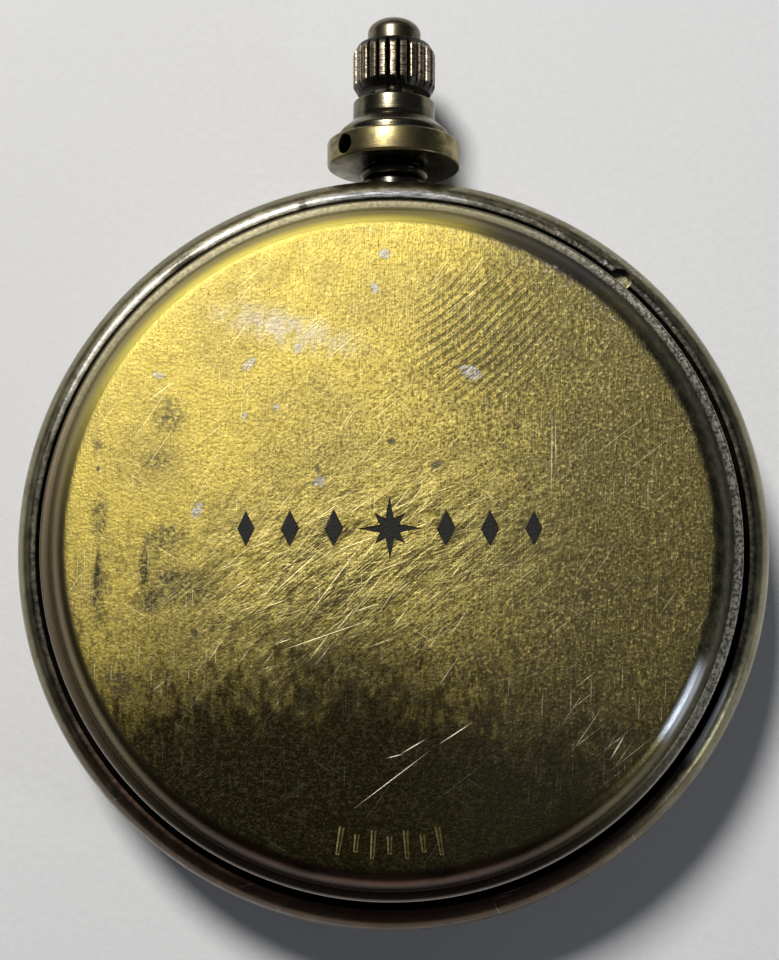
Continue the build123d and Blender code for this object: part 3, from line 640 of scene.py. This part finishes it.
def band_brass():
    """Grey-olive aged brass, rubbed and scuffed in places, with a silvery painted highlight and painted
    shade on the crest and painted shade in the groove.
    """
    look = Finish("case_brass")
    cloud = look.grit(0.35, 5.0, 0.65)
    fine = look.grit(3.4, 4.0, 0.7)
    look.colour = look.mix(look.fit(cloud, 0.35, 0.65), (0.33, 0.3, 0.18), (0.215, 0.19, 0.108))
    look.lay(look.fit(fine, 0.52, 0.72, 0.0, 0.6), (0.09, 0.078, 0.05))
    # Painted shade on the crest, with a silvery painted highlight towards the upper left.
    crest = look.times(look.ring(20.98, 21.52, 0.1), look.fit(look.z, 8.2, 8.5))
    dark = look.mix(look.fit(fine, 0.4, 0.62), (0.04, 0.038, 0.032), (0.13, 0.12, 0.092))
    look.lay(crest, dark, 0.92)
    silver_highlight = look.fit(look.grit(1.7, 5.0, 0.7), 0.34, 0.6, 0.55, 1.0)
    silver_highlight = look.times(silver_highlight, crest, look.towards(119, 47))
    look.lay(silver_highlight, (0.47, 0.455, 0.39))
    brushed = look.times(crest, look.towards(91, 15))
    streaks = look.noise(look.local(turn=2, size=(0.9, 0.07, 1e6)), detail=2.0)
    streaks = look.mix(look.fit(streaks, 0.4, 0.6), (0.095, 0.098, 0.102), (0.26, 0.262, 0.265))
    look.lay(brushed, streaks)
    # Painted white highlight on the crest at -28 degrees.
    highlight_streak = look.times(look.ring(21.1, 21.4, 0.1), look.towards(-28, 9))
    highlight_streak = look.times(highlight_streak, look.fit(look.z, 8.2, 8.5))
    look.lay(highlight_streak, (0.92, 0.92, 0.86))
    # Painted shade over two dented places on the crest.
    dent_shade = look.patches(
        ((-5.35, 20.6), (0.4, 0.6), 14.5, 0.6), ((-12.5, 17.2), (2.1, 0.6), 36, 0.8),
    )
    look.lay(look.times(dent_shade, crest), (0.04, 0.034, 0.024), 0.9)
    scuffs = look.times(look.towards(52, 26), look.fit(look.grit(2.6, 5.0, 0.8), 0.55, 0.66))
    scuffs = look.times(scuffs, look.fit(look.z, 7.2, 8.0))
    look.lay(scuffs, (0.6, 0.59, 0.56))
    # Painted reddish reflection low on the band's outside at six o'clock.
    brown_reflection = look.times(look.towards(262, 75), look.fit(look.z, 6.5, 7.5))
    look.lay(brown_reflection, (0.085, 0.045, 0.03), 0.85)
    # Painted shade on the groove's inner side, except towards the upper left, with painted glint specks.
    inside = look.times(look.fit(look.radius, 21.06, 20.98), look.fit(look.z, 6.9, 6.95))
    groove_shade = look.times(inside, look.fit(look.z, 8.5, 8.1), look.minus(1.0, look.towards(112, 50)))
    painted_glints = look.fit(look.grit(3.0, 4.0, 0.8), 0.6, 0.66)
    shaded = look.times(groove_shade, 0.95)
    look.lay(shaded, look.mix(painted_glints, (0.022, 0.021, 0.024), (0.5, 0.48, 0.47)))
    nicks = look.tangle(
        (18, 1.6, 0.06, 0.5, 0.3, 4.4), (-62, 1.2, 0.06, 0.5, 0.3, 8.8),
    )
    look.lay(nicks, (0.6, 0.56, 0.44), 0.4)
    roughness = look.fit(look.grit(1.2, 4.0, 0.6), 0.3, 0.7, 0.3, 0.42)
    roughness = look.plus(roughness, look.times(groove_shade, 0.15))
    look.bump(fine, 0.01)
    look.bump(look.grit(1.1, 3.0), 0.03)
    roughness = look.plus(roughness, look.times(brushed, 0.14), look.times(highlight_streak, 0.3))
    return look.done(roughness)


def pendant_brass(name, pale, dark, gloss):
    """Dark polished brass, turned on a lathe, with fine rings and small dents."""
    look = Finish(name)
    cloud = look.grit(0.8, 5.0, 0.65)
    turned = look.noise(look.local(size=(6.0, 0.05, 6.0)), detail=2.0)
    fine = look.grit(5.0, 4.0, 0.7)
    look.colour = look.mix(look.fit(cloud, 0.35, 0.65), pale, dark)
    look.lay(look.fit(turned, 0.52, 0.72, 0.0, 0.5), shade(pale, 1.5))
    look.lay(look.fit(fine, 0.6, 0.74, 0.0, 0.75), shade(dark, 0.3))
    roughness = look.fit(cloud, 0.3, 0.7, *gloss)
    look.bump(turned, 0.004)
    look.bump(fine, 0.004)
    return look.done(roughness)


def worn_crown():
    """Crown metal rubbed pinkish tan on the outside of the flutes and black between them."""
    look = Finish("crown_brass")
    high = look.minus(look.z, stem_height)
    square = look.plus(look.times(look.x, look.x), look.times(high, high))
    reach = look.calc("SQRT", square)
    rough_edge = look.times(look.minus(look.grit(3.0, 4.0, 0.7), 0.5), 0.1)
    top = look.fit(look.plus(reach, rough_edge), 2.36, 2.46)
    fine = look.grit(5.0, 4.0, 0.7)
    rungs = look.noise(look.local(size=(0.45, 0.09, 0.45)), detail=2.0, rough=0.6)
    worn = look.mix(look.fit(rungs, 0.42, 0.58), (0.085, 0.07, 0.05), (0.36, 0.3, 0.215))
    look.colour = look.mix(top, (0.022, 0.02, 0.016), worn)
    # Painted shade on the foot of the crown, next to the collar.
    foot = look.fit(look.plus(look.y, look.times(look.minus(fine, 0.5), 0.3)), 28.75, 28.5)
    look.lay(foot, (0.03, 0.028, 0.024), 0.9)
    look.lay(look.fit(fine, 0.56, 0.7, 0.0, 0.6), (0.06, 0.046, 0.032))
    roughness = look.fit(fine, 0.3, 0.7, 0.3, 0.42)
    look.bump(fine, 0.01)
    look.bump(rungs, 0.012)
    return look.done(roughness)


def fine_brass(name, base, scratch, gloss):
    """Clean brass with turning rings, light tarnish and hairlines."""
    turning_step = 0.06
    look = Finish(name)
    rings = look.add("CombineXYZ")
    look.feed(rings.inputs[0], look.calc("DIVIDE", look.radius, turning_step))
    turning = look.noise(rings.outputs[0], 1.0, 2.0)
    cloud = look.grit(0.5, 5.0, 0.65)
    look.colour = look.mix(look.fit(cloud, 0.4, 0.7), base, shade(base, 0.62))
    hairlines = look.tangle((35, 2.4, 0.05, 0.4, 0.6, 2.2), (-50, 2.0, 0.05, 0.4, 0.6, 6.1))
    look.lay(hairlines, scratch, 0.6)
    roughness = look.fit(cloud, 0.3, 0.7, *gloss)
    look.bump(turning, 0.004)
    return look.done(roughness)


def steel(name, base, gloss):
    """Steel with a little grain and faint discoloration."""
    look = Finish(name)
    grain = look.noise(look.local(turn=30, size=(0.1, 1.2, 1.2)), detail=3.0)
    cloud = look.grit(0.9, 4.0, 0.6)
    look.colour = look.mix(look.fit(cloud, 0.35, 0.7), base, shade(base, 0.7))
    look.bump(grain, 0.003)
    return look.done(look.fit(grain, 0.3, 0.7, *gloss))


def paint(name, base, stain, roughness):
    """Painted or printed surface with a faint grain and age spots."""
    look = Finish(name, metallic=0.0)
    cloud = look.grit(0.4, 5.0, 0.6)
    spots = look.fit(look.grit(2.2, 5.0, 0.75), 0.62, 0.74)
    look.colour = look.mix(look.fit(cloud, 0.35, 0.75, 0.0, 0.35), base, stain)
    look.lay(look.times(spots, 0.5), shade(stain, 0.6))
    look.bump(look.grit(7.0, 3.0), 0.004)
    return look.done(look.fit(cloud, 0.3, 0.7, roughness, roughness + 0.12))


def black_filling():
    """Old black lacquer in the stamped marks, dusty and slightly cracked."""
    look = Finish("black_filling", metallic=0.0)
    crumbs = look.grit(6.0, 4.0, 0.7)
    look.colour = look.mix(look.fit(crumbs, 0.55, 0.75), (0.003, 0.003, 0.002), (0.03, 0.025, 0.014))
    look.bump(crumbs, 0.03)
    return look.done(look.fit(crumbs, 0.3, 0.7, 0.45, 0.65), Specular_IOR_Level=0.3)


def clear_glass():
    """Flat watch glass with a few hairlines."""
    look = Finish("glass", metallic=0.0)
    hairlines = look.tangle((20, 3.0, 0.03, 0.2, 0.4, 3.3), (-65, 2.4, 0.03, 0.2, 0.4, 7.4))
    look.bump(hairlines, 0.004)
    roughness = look.fit(hairlines, 0.0, 1.0, 0.02, 0.35)
    look.colour = (0.97, 0.99, 0.985)
    return look.done(roughness, Transmission_Weight=1.0, IOR=1.5)


def paper():
    """Plain off-white paper with faint fibres."""
    look = Finish("paper", metallic=0.0)
    fibre = look.grit(2.2, 4.0, 0.7)
    cloud = look.grit(0.03, 3.0)
    look.colour = look.mix(look.fit(fibre, 0.35, 0.65), (0.745, 0.75, 0.762), (0.785, 0.79, 0.8))
    look.lay(look.fit(cloud, 0.35, 0.65, 0.0, 0.4), (0.725, 0.732, 0.752))
    look.bump(fibre, 0.02)
    return look.done(look.fit(fibre, 0.3, 0.7, 0.78, 0.92))


cover_look = cover_brass()
band_look = band_brass()
collar_look = pendant_brass("pendant_brass", (0.19, 0.168, 0.108), (0.085, 0.075, 0.05), (0.18, 0.3))
neck_look = pendant_brass("neck_brass", (0.11, 0.104, 0.082), (0.05, 0.046, 0.036), (0.16, 0.26))
button_look = pendant_brass("button_brass", (0.21, 0.18, 0.12), (0.1, 0.082, 0.055), (0.26, 0.36))
flange_look = pendant_brass("flange_brass", (0.36, 0.3, 0.13), (0.13, 0.11, 0.064), (0.28, 0.4))
rim_look = cover_rim()
edge_and_sheen_look = stamped_edge()
crown_look = worn_crown()
bezel_look = fine_brass("bezel_brass", (0.56, 0.43, 0.17), (0.8, 0.68, 0.38), (0.2, 0.32))
inner_look = fine_brass("inner_brass", (0.48, 0.37, 0.16), (0.68, 0.56, 0.3), (0.28, 0.42))
steel_look = steel("steel", (0.5, 0.5, 0.49), (0.24, 0.36))
spring_look = steel("spring_steel", (0.16, 0.19, 0.27), (0.22, 0.34))
dial_look = paint("dial_paint", (0.8, 0.76, 0.64), (0.6, 0.5, 0.32), 0.45)
ring_look = paint("ring_paint", (0.018, 0.018, 0.02), (0.05, 0.046, 0.04), 0.4)
ink_look = paint("dial_ink", (0.016, 0.016, 0.018), (0.04, 0.036, 0.03), 0.5)
white_ink_look = paint("ring_ink", (0.78, 0.75, 0.66), (0.6, 0.54, 0.4), 0.5)
red_ink_look = paint("red_ink", (0.42, 0.035, 0.025), (0.25, 0.05, 0.03), 0.5)
north_look = paint("needle_dark", (0.02, 0.05, 0.19), (0.01, 0.02, 0.06), 0.28)
south_look = paint("needle_light", (0.72, 0.71, 0.66), (0.5, 0.46, 0.36), 0.38)
jewel_look = paint("jewel", (0.38, 0.015, 0.05), (0.24, 0.01, 0.03), 0.12)
gasket_look = paint("gasket", (0.02, 0.02, 0.02), (0.045, 0.042, 0.038), 0.62)
filling_look = black_filling()
glass_look = clear_glass()


# ---- Back cover
star_points = 8
star_reaches = (1.75, 0.48, 1.15, 0.48)
ornament_height = 0.95
lozenge_places = (3.2, 5.7, 8.2)
mark_depth = (12.55, 12.76)  # bottom of the stamped marks, and just above the cover
stroke_count = 7
stroke_spacing = 3.2  # degrees


def star(grow):
    """Outline of the compass star, made larger all round by grow."""
    points = []
    for step in range(star_points * 2):
        angle = radians(90 + step * 180 / star_points)
        reach = star_reaches[step % 4] + grow
        points.append((reach * cos(angle), reach * sin(angle)))
    return points


def lozenge(grow):
    """Outline of one upright lozenge."""
    wide, tall = 0.45 + grow, 0.95 + grow * 1.6
    return [(wide, 0), (0, tall), (-wide, 0), (0, -tall)]


def back_cover():
    """Domed snap-on back with a soft steep shoulder, a rounded lip and stamped marks."""
    outside = dome(18.35, 12.31, 12.7, inwards=False)
    shoulder = [
        (18.6, 12.285), (18.82, 12.21), (19.02, 12.08), (19.2, 11.9), (19.36, 11.67), (19.5, 11.42),
        (19.62, 11.2), (19.71, 11.02), (19.8, 10.9), (19.92, 10.83),
    ]
    rim = soften(
        [(20.0, 10.8, 0.0), (20.42, 10.78, 0.2), (20.42, 10.15, 0.12), (20.3, 9.95, 0.0),
         (20.3, 7.15, 0.1), (19.74, 7.15, 0.1), (19.74, 10.0, 0.0), (19.4, 10.7, 0.0), (18.1, 11.7, 0.0)],
        steps=7,
    )
    inside = dome(18.1, 11.7, 12.1, steps=10)
    piece = lathe("cover_shell", outside + shoulder + rim[1:] + inside[1:])
    marks = [prism("star_cut", star(-0.02), star(0.2), *mark_depth, at(0, ornament_height))]
    for side in (-1, 1):
        for place in lozenge_places:
            where = at(side * place, ornament_height)
            marks.append(prism("lozenge_cut", lozenge(-0.01), lozenge(0.18), *mark_depth, where))
    for number in range(stroke_count):
        length = 1.0 if number % 2 else 1.6
        where = at(turn=270 + (number - stroke_count // 2) * stroke_spacing) @ at(x=17.0)
        foot, mouth = rectangle(length - 0.1, 0.1), rectangle(length + 0.16, 0.44)
        marks.append(prism("stroke_cut", foot, mouth, 12.27, 12.46, where))
    cut(piece, *marks)
    settle(piece, "case", cover_look, "cover_brass", "back_cover")
    zone(piece, rim_look, lambda middle, normal: middle.z < 12.18)
    zone(piece, edge_and_sheen_look, lambda middle, normal: middle.z > 12.25 and normal.z < 0.95)


# ---- Case band and lid
case_radius = 22.5
hook_slot = rectangle(4.8, 3.0)
nick_angle = 50
nick_distance = 21.0


def hinge_notch(name, low, high):
    """Room for the hinge, cut out of the rim."""
    return straight(name, rectangle(6.4, 2.8), low, high, at(0, -case_radius))


def band():
    """Middle of the case: rounded outer ring, narrow black groove, neck for the back cover."""
    outline = soften(
        [(22.2, 3.6, 0.12), (case_radius, 4.25, 0.5), (case_radius, 7.25, 1.2), (22.25, 8.05, 1.0),
         (21.85, 8.6, 0.9), (21.35, 8.78, 0.5), (21.05, 8.76, 0.12), (21.00, 8.5, 0.08), (21.00, 7.00, 0.4),
         (19.7, 7.00, 0.0), (19.7, 9.7, 0.1), (19.0, 9.7, 0.1), (19.0, 6.5, 0.0), (20.6, 6.5, 0.0),
         (20.6, 4.2, 0.0), (20.0, 4.2, 0.08), (20.0, 3.6, 0.08)],
        steps=8,
    )
    piece = lathe("band_shell", outline)
    turn = radians(nick_angle)
    where = at(nick_distance * cos(turn), nick_distance * sin(turn))
    nick = prism("nick_cut", circle(0.55), circle(0.72), 8.05, 8.9, where)
    slot = straight("slot_cut", hook_slot, 3.0, 4.2, at(0, 19.1))
    cut(piece, nick, hinge_notch("band_notch", 3.0, 4.35), slot)
    settle(piece, "case", band_look, "case_brass", "case_band")


def lid():
    """Dished front lid with a rounded edge."""
    outer, inner = 22.35, 21.35
    angles = [radians(6 * step) for step in range(16)]
    edge = [(outer - 3.85 * (1 - sin(a)), 2.4 - 2.4 * cos(a)) for a in angles]
    hollow = [(inner - 2.95 * (1 - sin(a)), 2.5 - 1.75 * cos(a)) for a in angles[::-1]]
    rim = soften([(outer, 2.4, 0.0), (outer, 3.5, 0.12), (inner, 3.5, 0.12), (inner, 2.5, 0.0)])
    outline = [(0, 0)] + edge + rim[1:-1] + hollow + [(0, 0.75)]
    piece = lathe("lid_shell", outline)
    relief = straight("relief_cut", rectangle(11.2, 1.9), 3.05, 4.0, at(0, -22.75))
    cut(piece, hinge_notch("lid_notch", 2.75, 4.0), relief)
    settle(piece, "lid", band_look, "case_brass", "front_lid")


def bezel():
    """Polished ring round the glass, with soft edges and a slot for the lock hook."""
    outline = soften(
        [(17.6, 2.4, 0.12), (20.4, 2.4, 0.3), (20.6, 2.7, 0.1), (20.6, 3.55, 0.05), (19.95, 3.55, 0.0),
         (19.95, 4.2, 0.05), (19.25, 4.2, 0.05), (19.25, 3.55, 0.0), (18.2, 3.55, 0.0), (18.2, 2.75, 0.0),
         (17.6, 2.75, 0.05)],
    )
    piece = lathe("bezel_shell", outline)
    cut(piece, straight("bezel_cut", hook_slot, 2.0, 4.5, at(0, 21.1)))
    settle(piece, "case", bezel_look, "bezel_brass", "bezel_ring")


# ---- Pendant
flange_middle = 24.3
bow_hole_radius = 0.53
bow_hole_angles = (45, 225)


def collar():
    """Stepped collar with rounded edges, drilled through the flange for a bow."""
    outline = soften(
        [(1.65, 23.6, 0.05), (4.07, 23.6, 0.16), (4.07, 25.1, 0.16), (3.35, 25.1, 0.04), (3.38, 25.65, 0.35),
         (2.6, 26.34, 0.1), (2.42, 26.36, 0.03), (2.5, 26.6, 0.08), (2.5, 27.6, 0.12), (2.2, 27.6, 0.05),
         (2.2, 26.9, 0.0), (1.65, 26.9, 0.0)],
        steps=5,
    )
    piece = lathe("collar_shell", outline, stem_point, 160)
    holes = []
    for turn in bow_hole_angles:
        outward = Matrix.Rotation(radians(-turn), 4, "Y")
        place = Matrix.Translation(Vector((0, flange_middle, stem_height)) * mm) @ outward
        holes.append(straight("hole_cut", circle(bow_hole_radius), 2.6, 3.9, place))
        holes.append(prism("lead_cut", circle(0.52), circle(0.68), 3.86, 4.3, place))
    cut(piece, *holes)
    settle(piece, "collar", collar_look, "pendant_brass", "bow_collar")

    def on_flange_edge(middle, normal):
        return middle.y < 25.12 and hypot(middle.x, middle.z - stem_height) > 4.0

    zone(piece, flange_look, on_flange_edge)


def tube():
    """Neck tube with its rounded bulge."""
    angles = [radians(15 * step) for step in range(13)]
    bulge = [(1.6 + 0.46 * sin(a), 23.15 - 0.4 * cos(a)) for a in angles]
    outline = [(1.15, 21.5), (1.6, 21.5)] + bulge + [(1.6, 26.95), (1.15, 26.95)]
    piece = lathe("tube_shell", outline, stem_point, 128)
    settle(piece, "case", neck_look, "pendant_brass", "stem_tube")


def neck_foot():
    """Ring at the foot of the neck, with polished soft edges."""
    outline = soften([(1.6, 21.9, 0.0), (2.1, 21.9, 0.0), (2.1, 22.65, 0.16), (1.6, 22.65, 0.0)])
    settle(lathe("neck_foot", outline, stem_point, 128), "case", neck_look, "pendant_brass", "neck_base")


def crown():
    """Crown with V flutes whose lands are rubbed round and whose ends are bevelled."""
    flutes, samples = 24, 14
    crown_radius, groove_radius = 2.5, 2.24
    slope = 0.32 / 0.52
    fluted_from = 1.9

    def flute_radius(share):
        """Distance from the axis at a share of one flute's pitch, 0 in the groove."""
        side = abs(share - 0.5) * 2
        across = (1 - side) * pi * crown_radius / flutes
        land = crown_radius - 0.03 * (1 - min(1.0, across / 0.3)) ** 2
        return min(groove_radius + across / slope, land)

    profile = soften(
        [(0.75, 28.7, 0.0), (1.5, 28.7, 0.0), (1.5, 28.1, 0.04), (2.2, 28.1, 0.05),
         (crown_radius, 28.6, 0.12), (crown_radius, 30.6, 0.12), (2.2, 31.1, 0.06), (0.75, 31.1, 0.04)],
    )
    outline = []
    for place, (radius, along) in enumerate(profile):
        after = profile[(place + 1) % len(profile)]
        outline.append((radius, along))
        if radius > fluted_from and after[0] > fluted_from:
            for step in (1, 2, 3):
                share = step / 4
                outline.append((radius + (after[0] - radius) * share, along + (after[1] - along) * share))
    count = flutes * samples
    rings = []
    for radius, along in outline:
        ring = []
        for step in range(count):
            share = (step % samples) / samples
            reach = min(radius, flute_radius(share)) if radius > fluted_from else radius
            ring.append(stem_point(reach, along, tau * (step / count + 0.5 / flutes)))
        rings.append(ring)
    piece = skin("crown_shell", rings)
    settle(piece, "crown", crown_look, "crown_brass", "fluted_crown", sharp=24)


def button():
    """Domed thumb button."""
    angles = [radians(7.5 * step) for step in range(12, -1, -1)]
    cap = [(1.62 * sin(a), 31.9 + 0.95 * cos(a)) for a in angles]
    outline = [(0.7, 31.9), (0.7, 31.15), (1.56, 31.15), (1.62, 31.22)] + cap[:-1] + [(0, 32.85), (0, 31.9)]
    piece = lathe("button_shell", outline, stem_point, 96)
    settle(piece, "push", button_look, "pendant_brass", "button_cap")


for make in (back_cover, band, lid, bezel, collar, tube, neck_foot, crown, button):
    make()


# ---- Dial printing
dial_face = 6.2
inner_circle, outer_circle = 9.0, 14.2
rose_long, rose_short, rose_waist = 7.4, 4.6, 2.3
letter_distance, figure_distance = 11.3, 15.55
circle_steps = 120


def marks_mesh(name, quads, depth, material, slot):
    """Thin raised print on the dial side, from four-cornered outlines of (x, y, z) points."""
    bm = bmesh.new()
    for corners in quads:
        top = [bm.verts.new(Vector(corner) * mm) for corner in corners]
        low = [bm.verts.new((Vector(corner) - Vector((0, 0, depth))) * mm) for corner in corners]
        count = len(top)
        bm.faces.new(top)
        bm.faces.new(low[::-1])
        for step in range(count):
            after = (step + 1) % count
            bm.faces.new((top[step], top[after], low[after], low[step]))
    bmesh.ops.recalc_face_normals(bm, faces=bm.faces)
    settle(object_from(name, bm), "case", material, slot)


def ring_height(radius):
    """Height of the sloping degree ring's face."""
    inner, outer = 15.0, 18.25
    return 5.95 - 0.45 * (radius - inner) / (outer - inner)


def bar(angle, inner, outer, width, height):
    """Four corners of a radial bar at an angle clockwise from north, seen from the dial side."""
    turn = radians(90 + angle)
    corners = []
    for radius, side in ((inner, -1), (inner, 1), (outer, 1), (outer, -1)):
        x, y = radius * cos(turn), radius * sin(turn)
        across = side * width / 2
        corners.append((x - across * sin(turn), y + across * cos(turn), height(radius)))
    return corners


ticks = []
for degree in range(0, 360, 2):
    inner, width = (16.3, 0.16) if degree % 30 == 0 else (16.8, 0.12) if degree % 10 == 0 else (17.3, 0.07)
    ticks.append(bar(degree, inner, 17.55, width, ring_height))
marks_mesh("ring_ticks", ticks, 0.02, white_ink_look, "ring_paint")


def dial_height(radius):
    """Height of the dial's flat face, the same at every radius."""
    return dial_face


def on_dial(radius, angle):
    """Point on the dial's face, with the angle in radians from +X."""
    return (radius * cos(angle), radius * sin(angle), dial_face)


rose_dark, rose_red = [], []
for degree in range(0, 360, 45):
    reach, points = (rose_short, rose_red) if degree % 90 else (rose_long, rose_dark)
    hip = on_dial(rose_waist, radians(90 + degree + 22.5))
    points.append(((0, 0, dial_face), hip, on_dial(reach, radians(90 + degree))))
circle_line = []
for radius, width in ((inner_circle, 0.1), (outer_circle, 0.16)):
    for step in range(circle_steps):
        a, b = tau * step / circle_steps, tau * (step + 1) / circle_steps
        corners = ((radius, a), (radius, b), (radius + width, b), (radius + width, a))
        circle_line.append([on_dial(*corner) for corner in corners])
for degree in range(0, 360, 5):
    circle_line.append(bar(degree, 13.5 if degree % 10 == 0 else 13.85, outer_circle, 0.09, dial_height))
marks_mesh("dial_lines", circle_line, 0.015, ink_look, "dial_paint")
marks_mesh("rose_dark", rose_dark, 0.02, ink_look, "dial_paint")
marks_mesh("rose_red", rose_red, 0.02, red_ink_look, "dial_paint")


def label(text, angle, radius, size, height, material, slot):
    """Letter or number printed on the dial side, upright towards the crown for one at the top."""
    curve = bpy.data.curves.new("label", "FONT")
    curve.body = text
    curve.size = size * mm
    curve.extrude = 0.008 * mm
    curve.align_x = "CENTER"
    curve.align_y = "CENTER"
    source = new_object("label", curve)
    mesh = mesh_as_seen(source)
    bpy.data.objects.remove(source)
    turn = radians(angle)
    centre = Vector((-radius * sin(turn), radius * cos(turn), height - 0.012))
    place = Matrix.Translation(centre * mm)
    mesh.transform(place @ Matrix.Rotation(turn, 4, "Z") @ Matrix.Rotation(pi, 4, "Y"))
    settle(new_object("label_" + text, mesh), "case", material, slot)


for text, angle in (("N", 0), ("E", 90), ("S", 180), ("W", 270)):
    ink = red_ink_look if text == "N" else ink_look
    label(text, angle, letter_distance, 3.2, dial_face, ink, "dial_paint")
for degree in range(0, 360, 30):
    label(str(degree), degree, figure_distance, 1.25, ring_height(15.9), white_ink_look, "ring_paint")


# ---- CAD nodes that stay
dress(filling_look, "cover_inlay")
dress(band_look, "case_knuckle", "lid_knuckle_left", "lid_knuckle_right")
dress(steel_look, "hinge_pin", "push_rod", "crown_clip", "ring_screw_1", "ring_screw_2", "ring_screw_3",
      "lock_spring_screw", "lift_spring_screw", "pivot_pin")
dress(spring_look, "lock_spring", "lift_spring", "return_spring")
dress(inner_look, "lid_catch", "tube_nut", "capsule_cup", "retaining_ring", "dial_spacer", "pivot_base",
      "needle_hub", "needle_weight")
dress(glass_look, "crystal")
dress(gasket_look, "crystal_gasket")
dress(dial_look, "dial_plate")
dress(ring_look, "degree_ring")
dress(north_look, "needle_north")
dress(south_look, "needle_south")
dress(jewel_look, "needle_jewel")

# ---- Floor, light and camera
floor_width = 3000
floor = straight("floor", rectangle(floor_width, floor_width), -5, 0)
floor.data.materials.append(paper())


def lamp(name, place, target, size, power, colour):
    """Round soft lamp aimed at a target."""
    light = bpy.data.lights.new(name, "AREA")
    light.shape = "DISK"
    light.size = size * mm
    light.energy = power
    light.color = colour
    source = new_object(name, light)
    source.location = Vector(place) * mm
    source.rotation_mode = "QUATERNION"
    source.rotation_quaternion = (Vector(target) - Vector(place)).to_track_quat("-Z", "Y")


lamp("key", (-96, 204, 330), (0, 0, 6), 100, 1.5, (1.0, 0.98, 0.94))
lamp("edge", (190, -104, 90), (0, 0, 10), 27, 0.055, (0.85, 0.92, 1.0))

world = bpy.data.worlds.new("room")
world.use_nodes = True
world.node_tree.nodes["Background"].inputs["Color"].default_value = (0.045, 0.047, 0.057, 1)
bpy.context.scene.world = world

camera_data = bpy.data.cameras.new("camera")
camera_data.lens = 66.675
camera_data.shift_x = -0.05
camera_data.shift_y = 0.1287
camera_data.clip_start = 0.01
camera = new_object("camera", camera_data)
camera.location = Vector((3.5, -7.9, 113.4)) * mm
camera.rotation_euler = (radians(2.6), radians(0.45), 0)
bpy.context.scene.camera = camera
bpy.context.scene.view_settings.view_transform = "Standard"
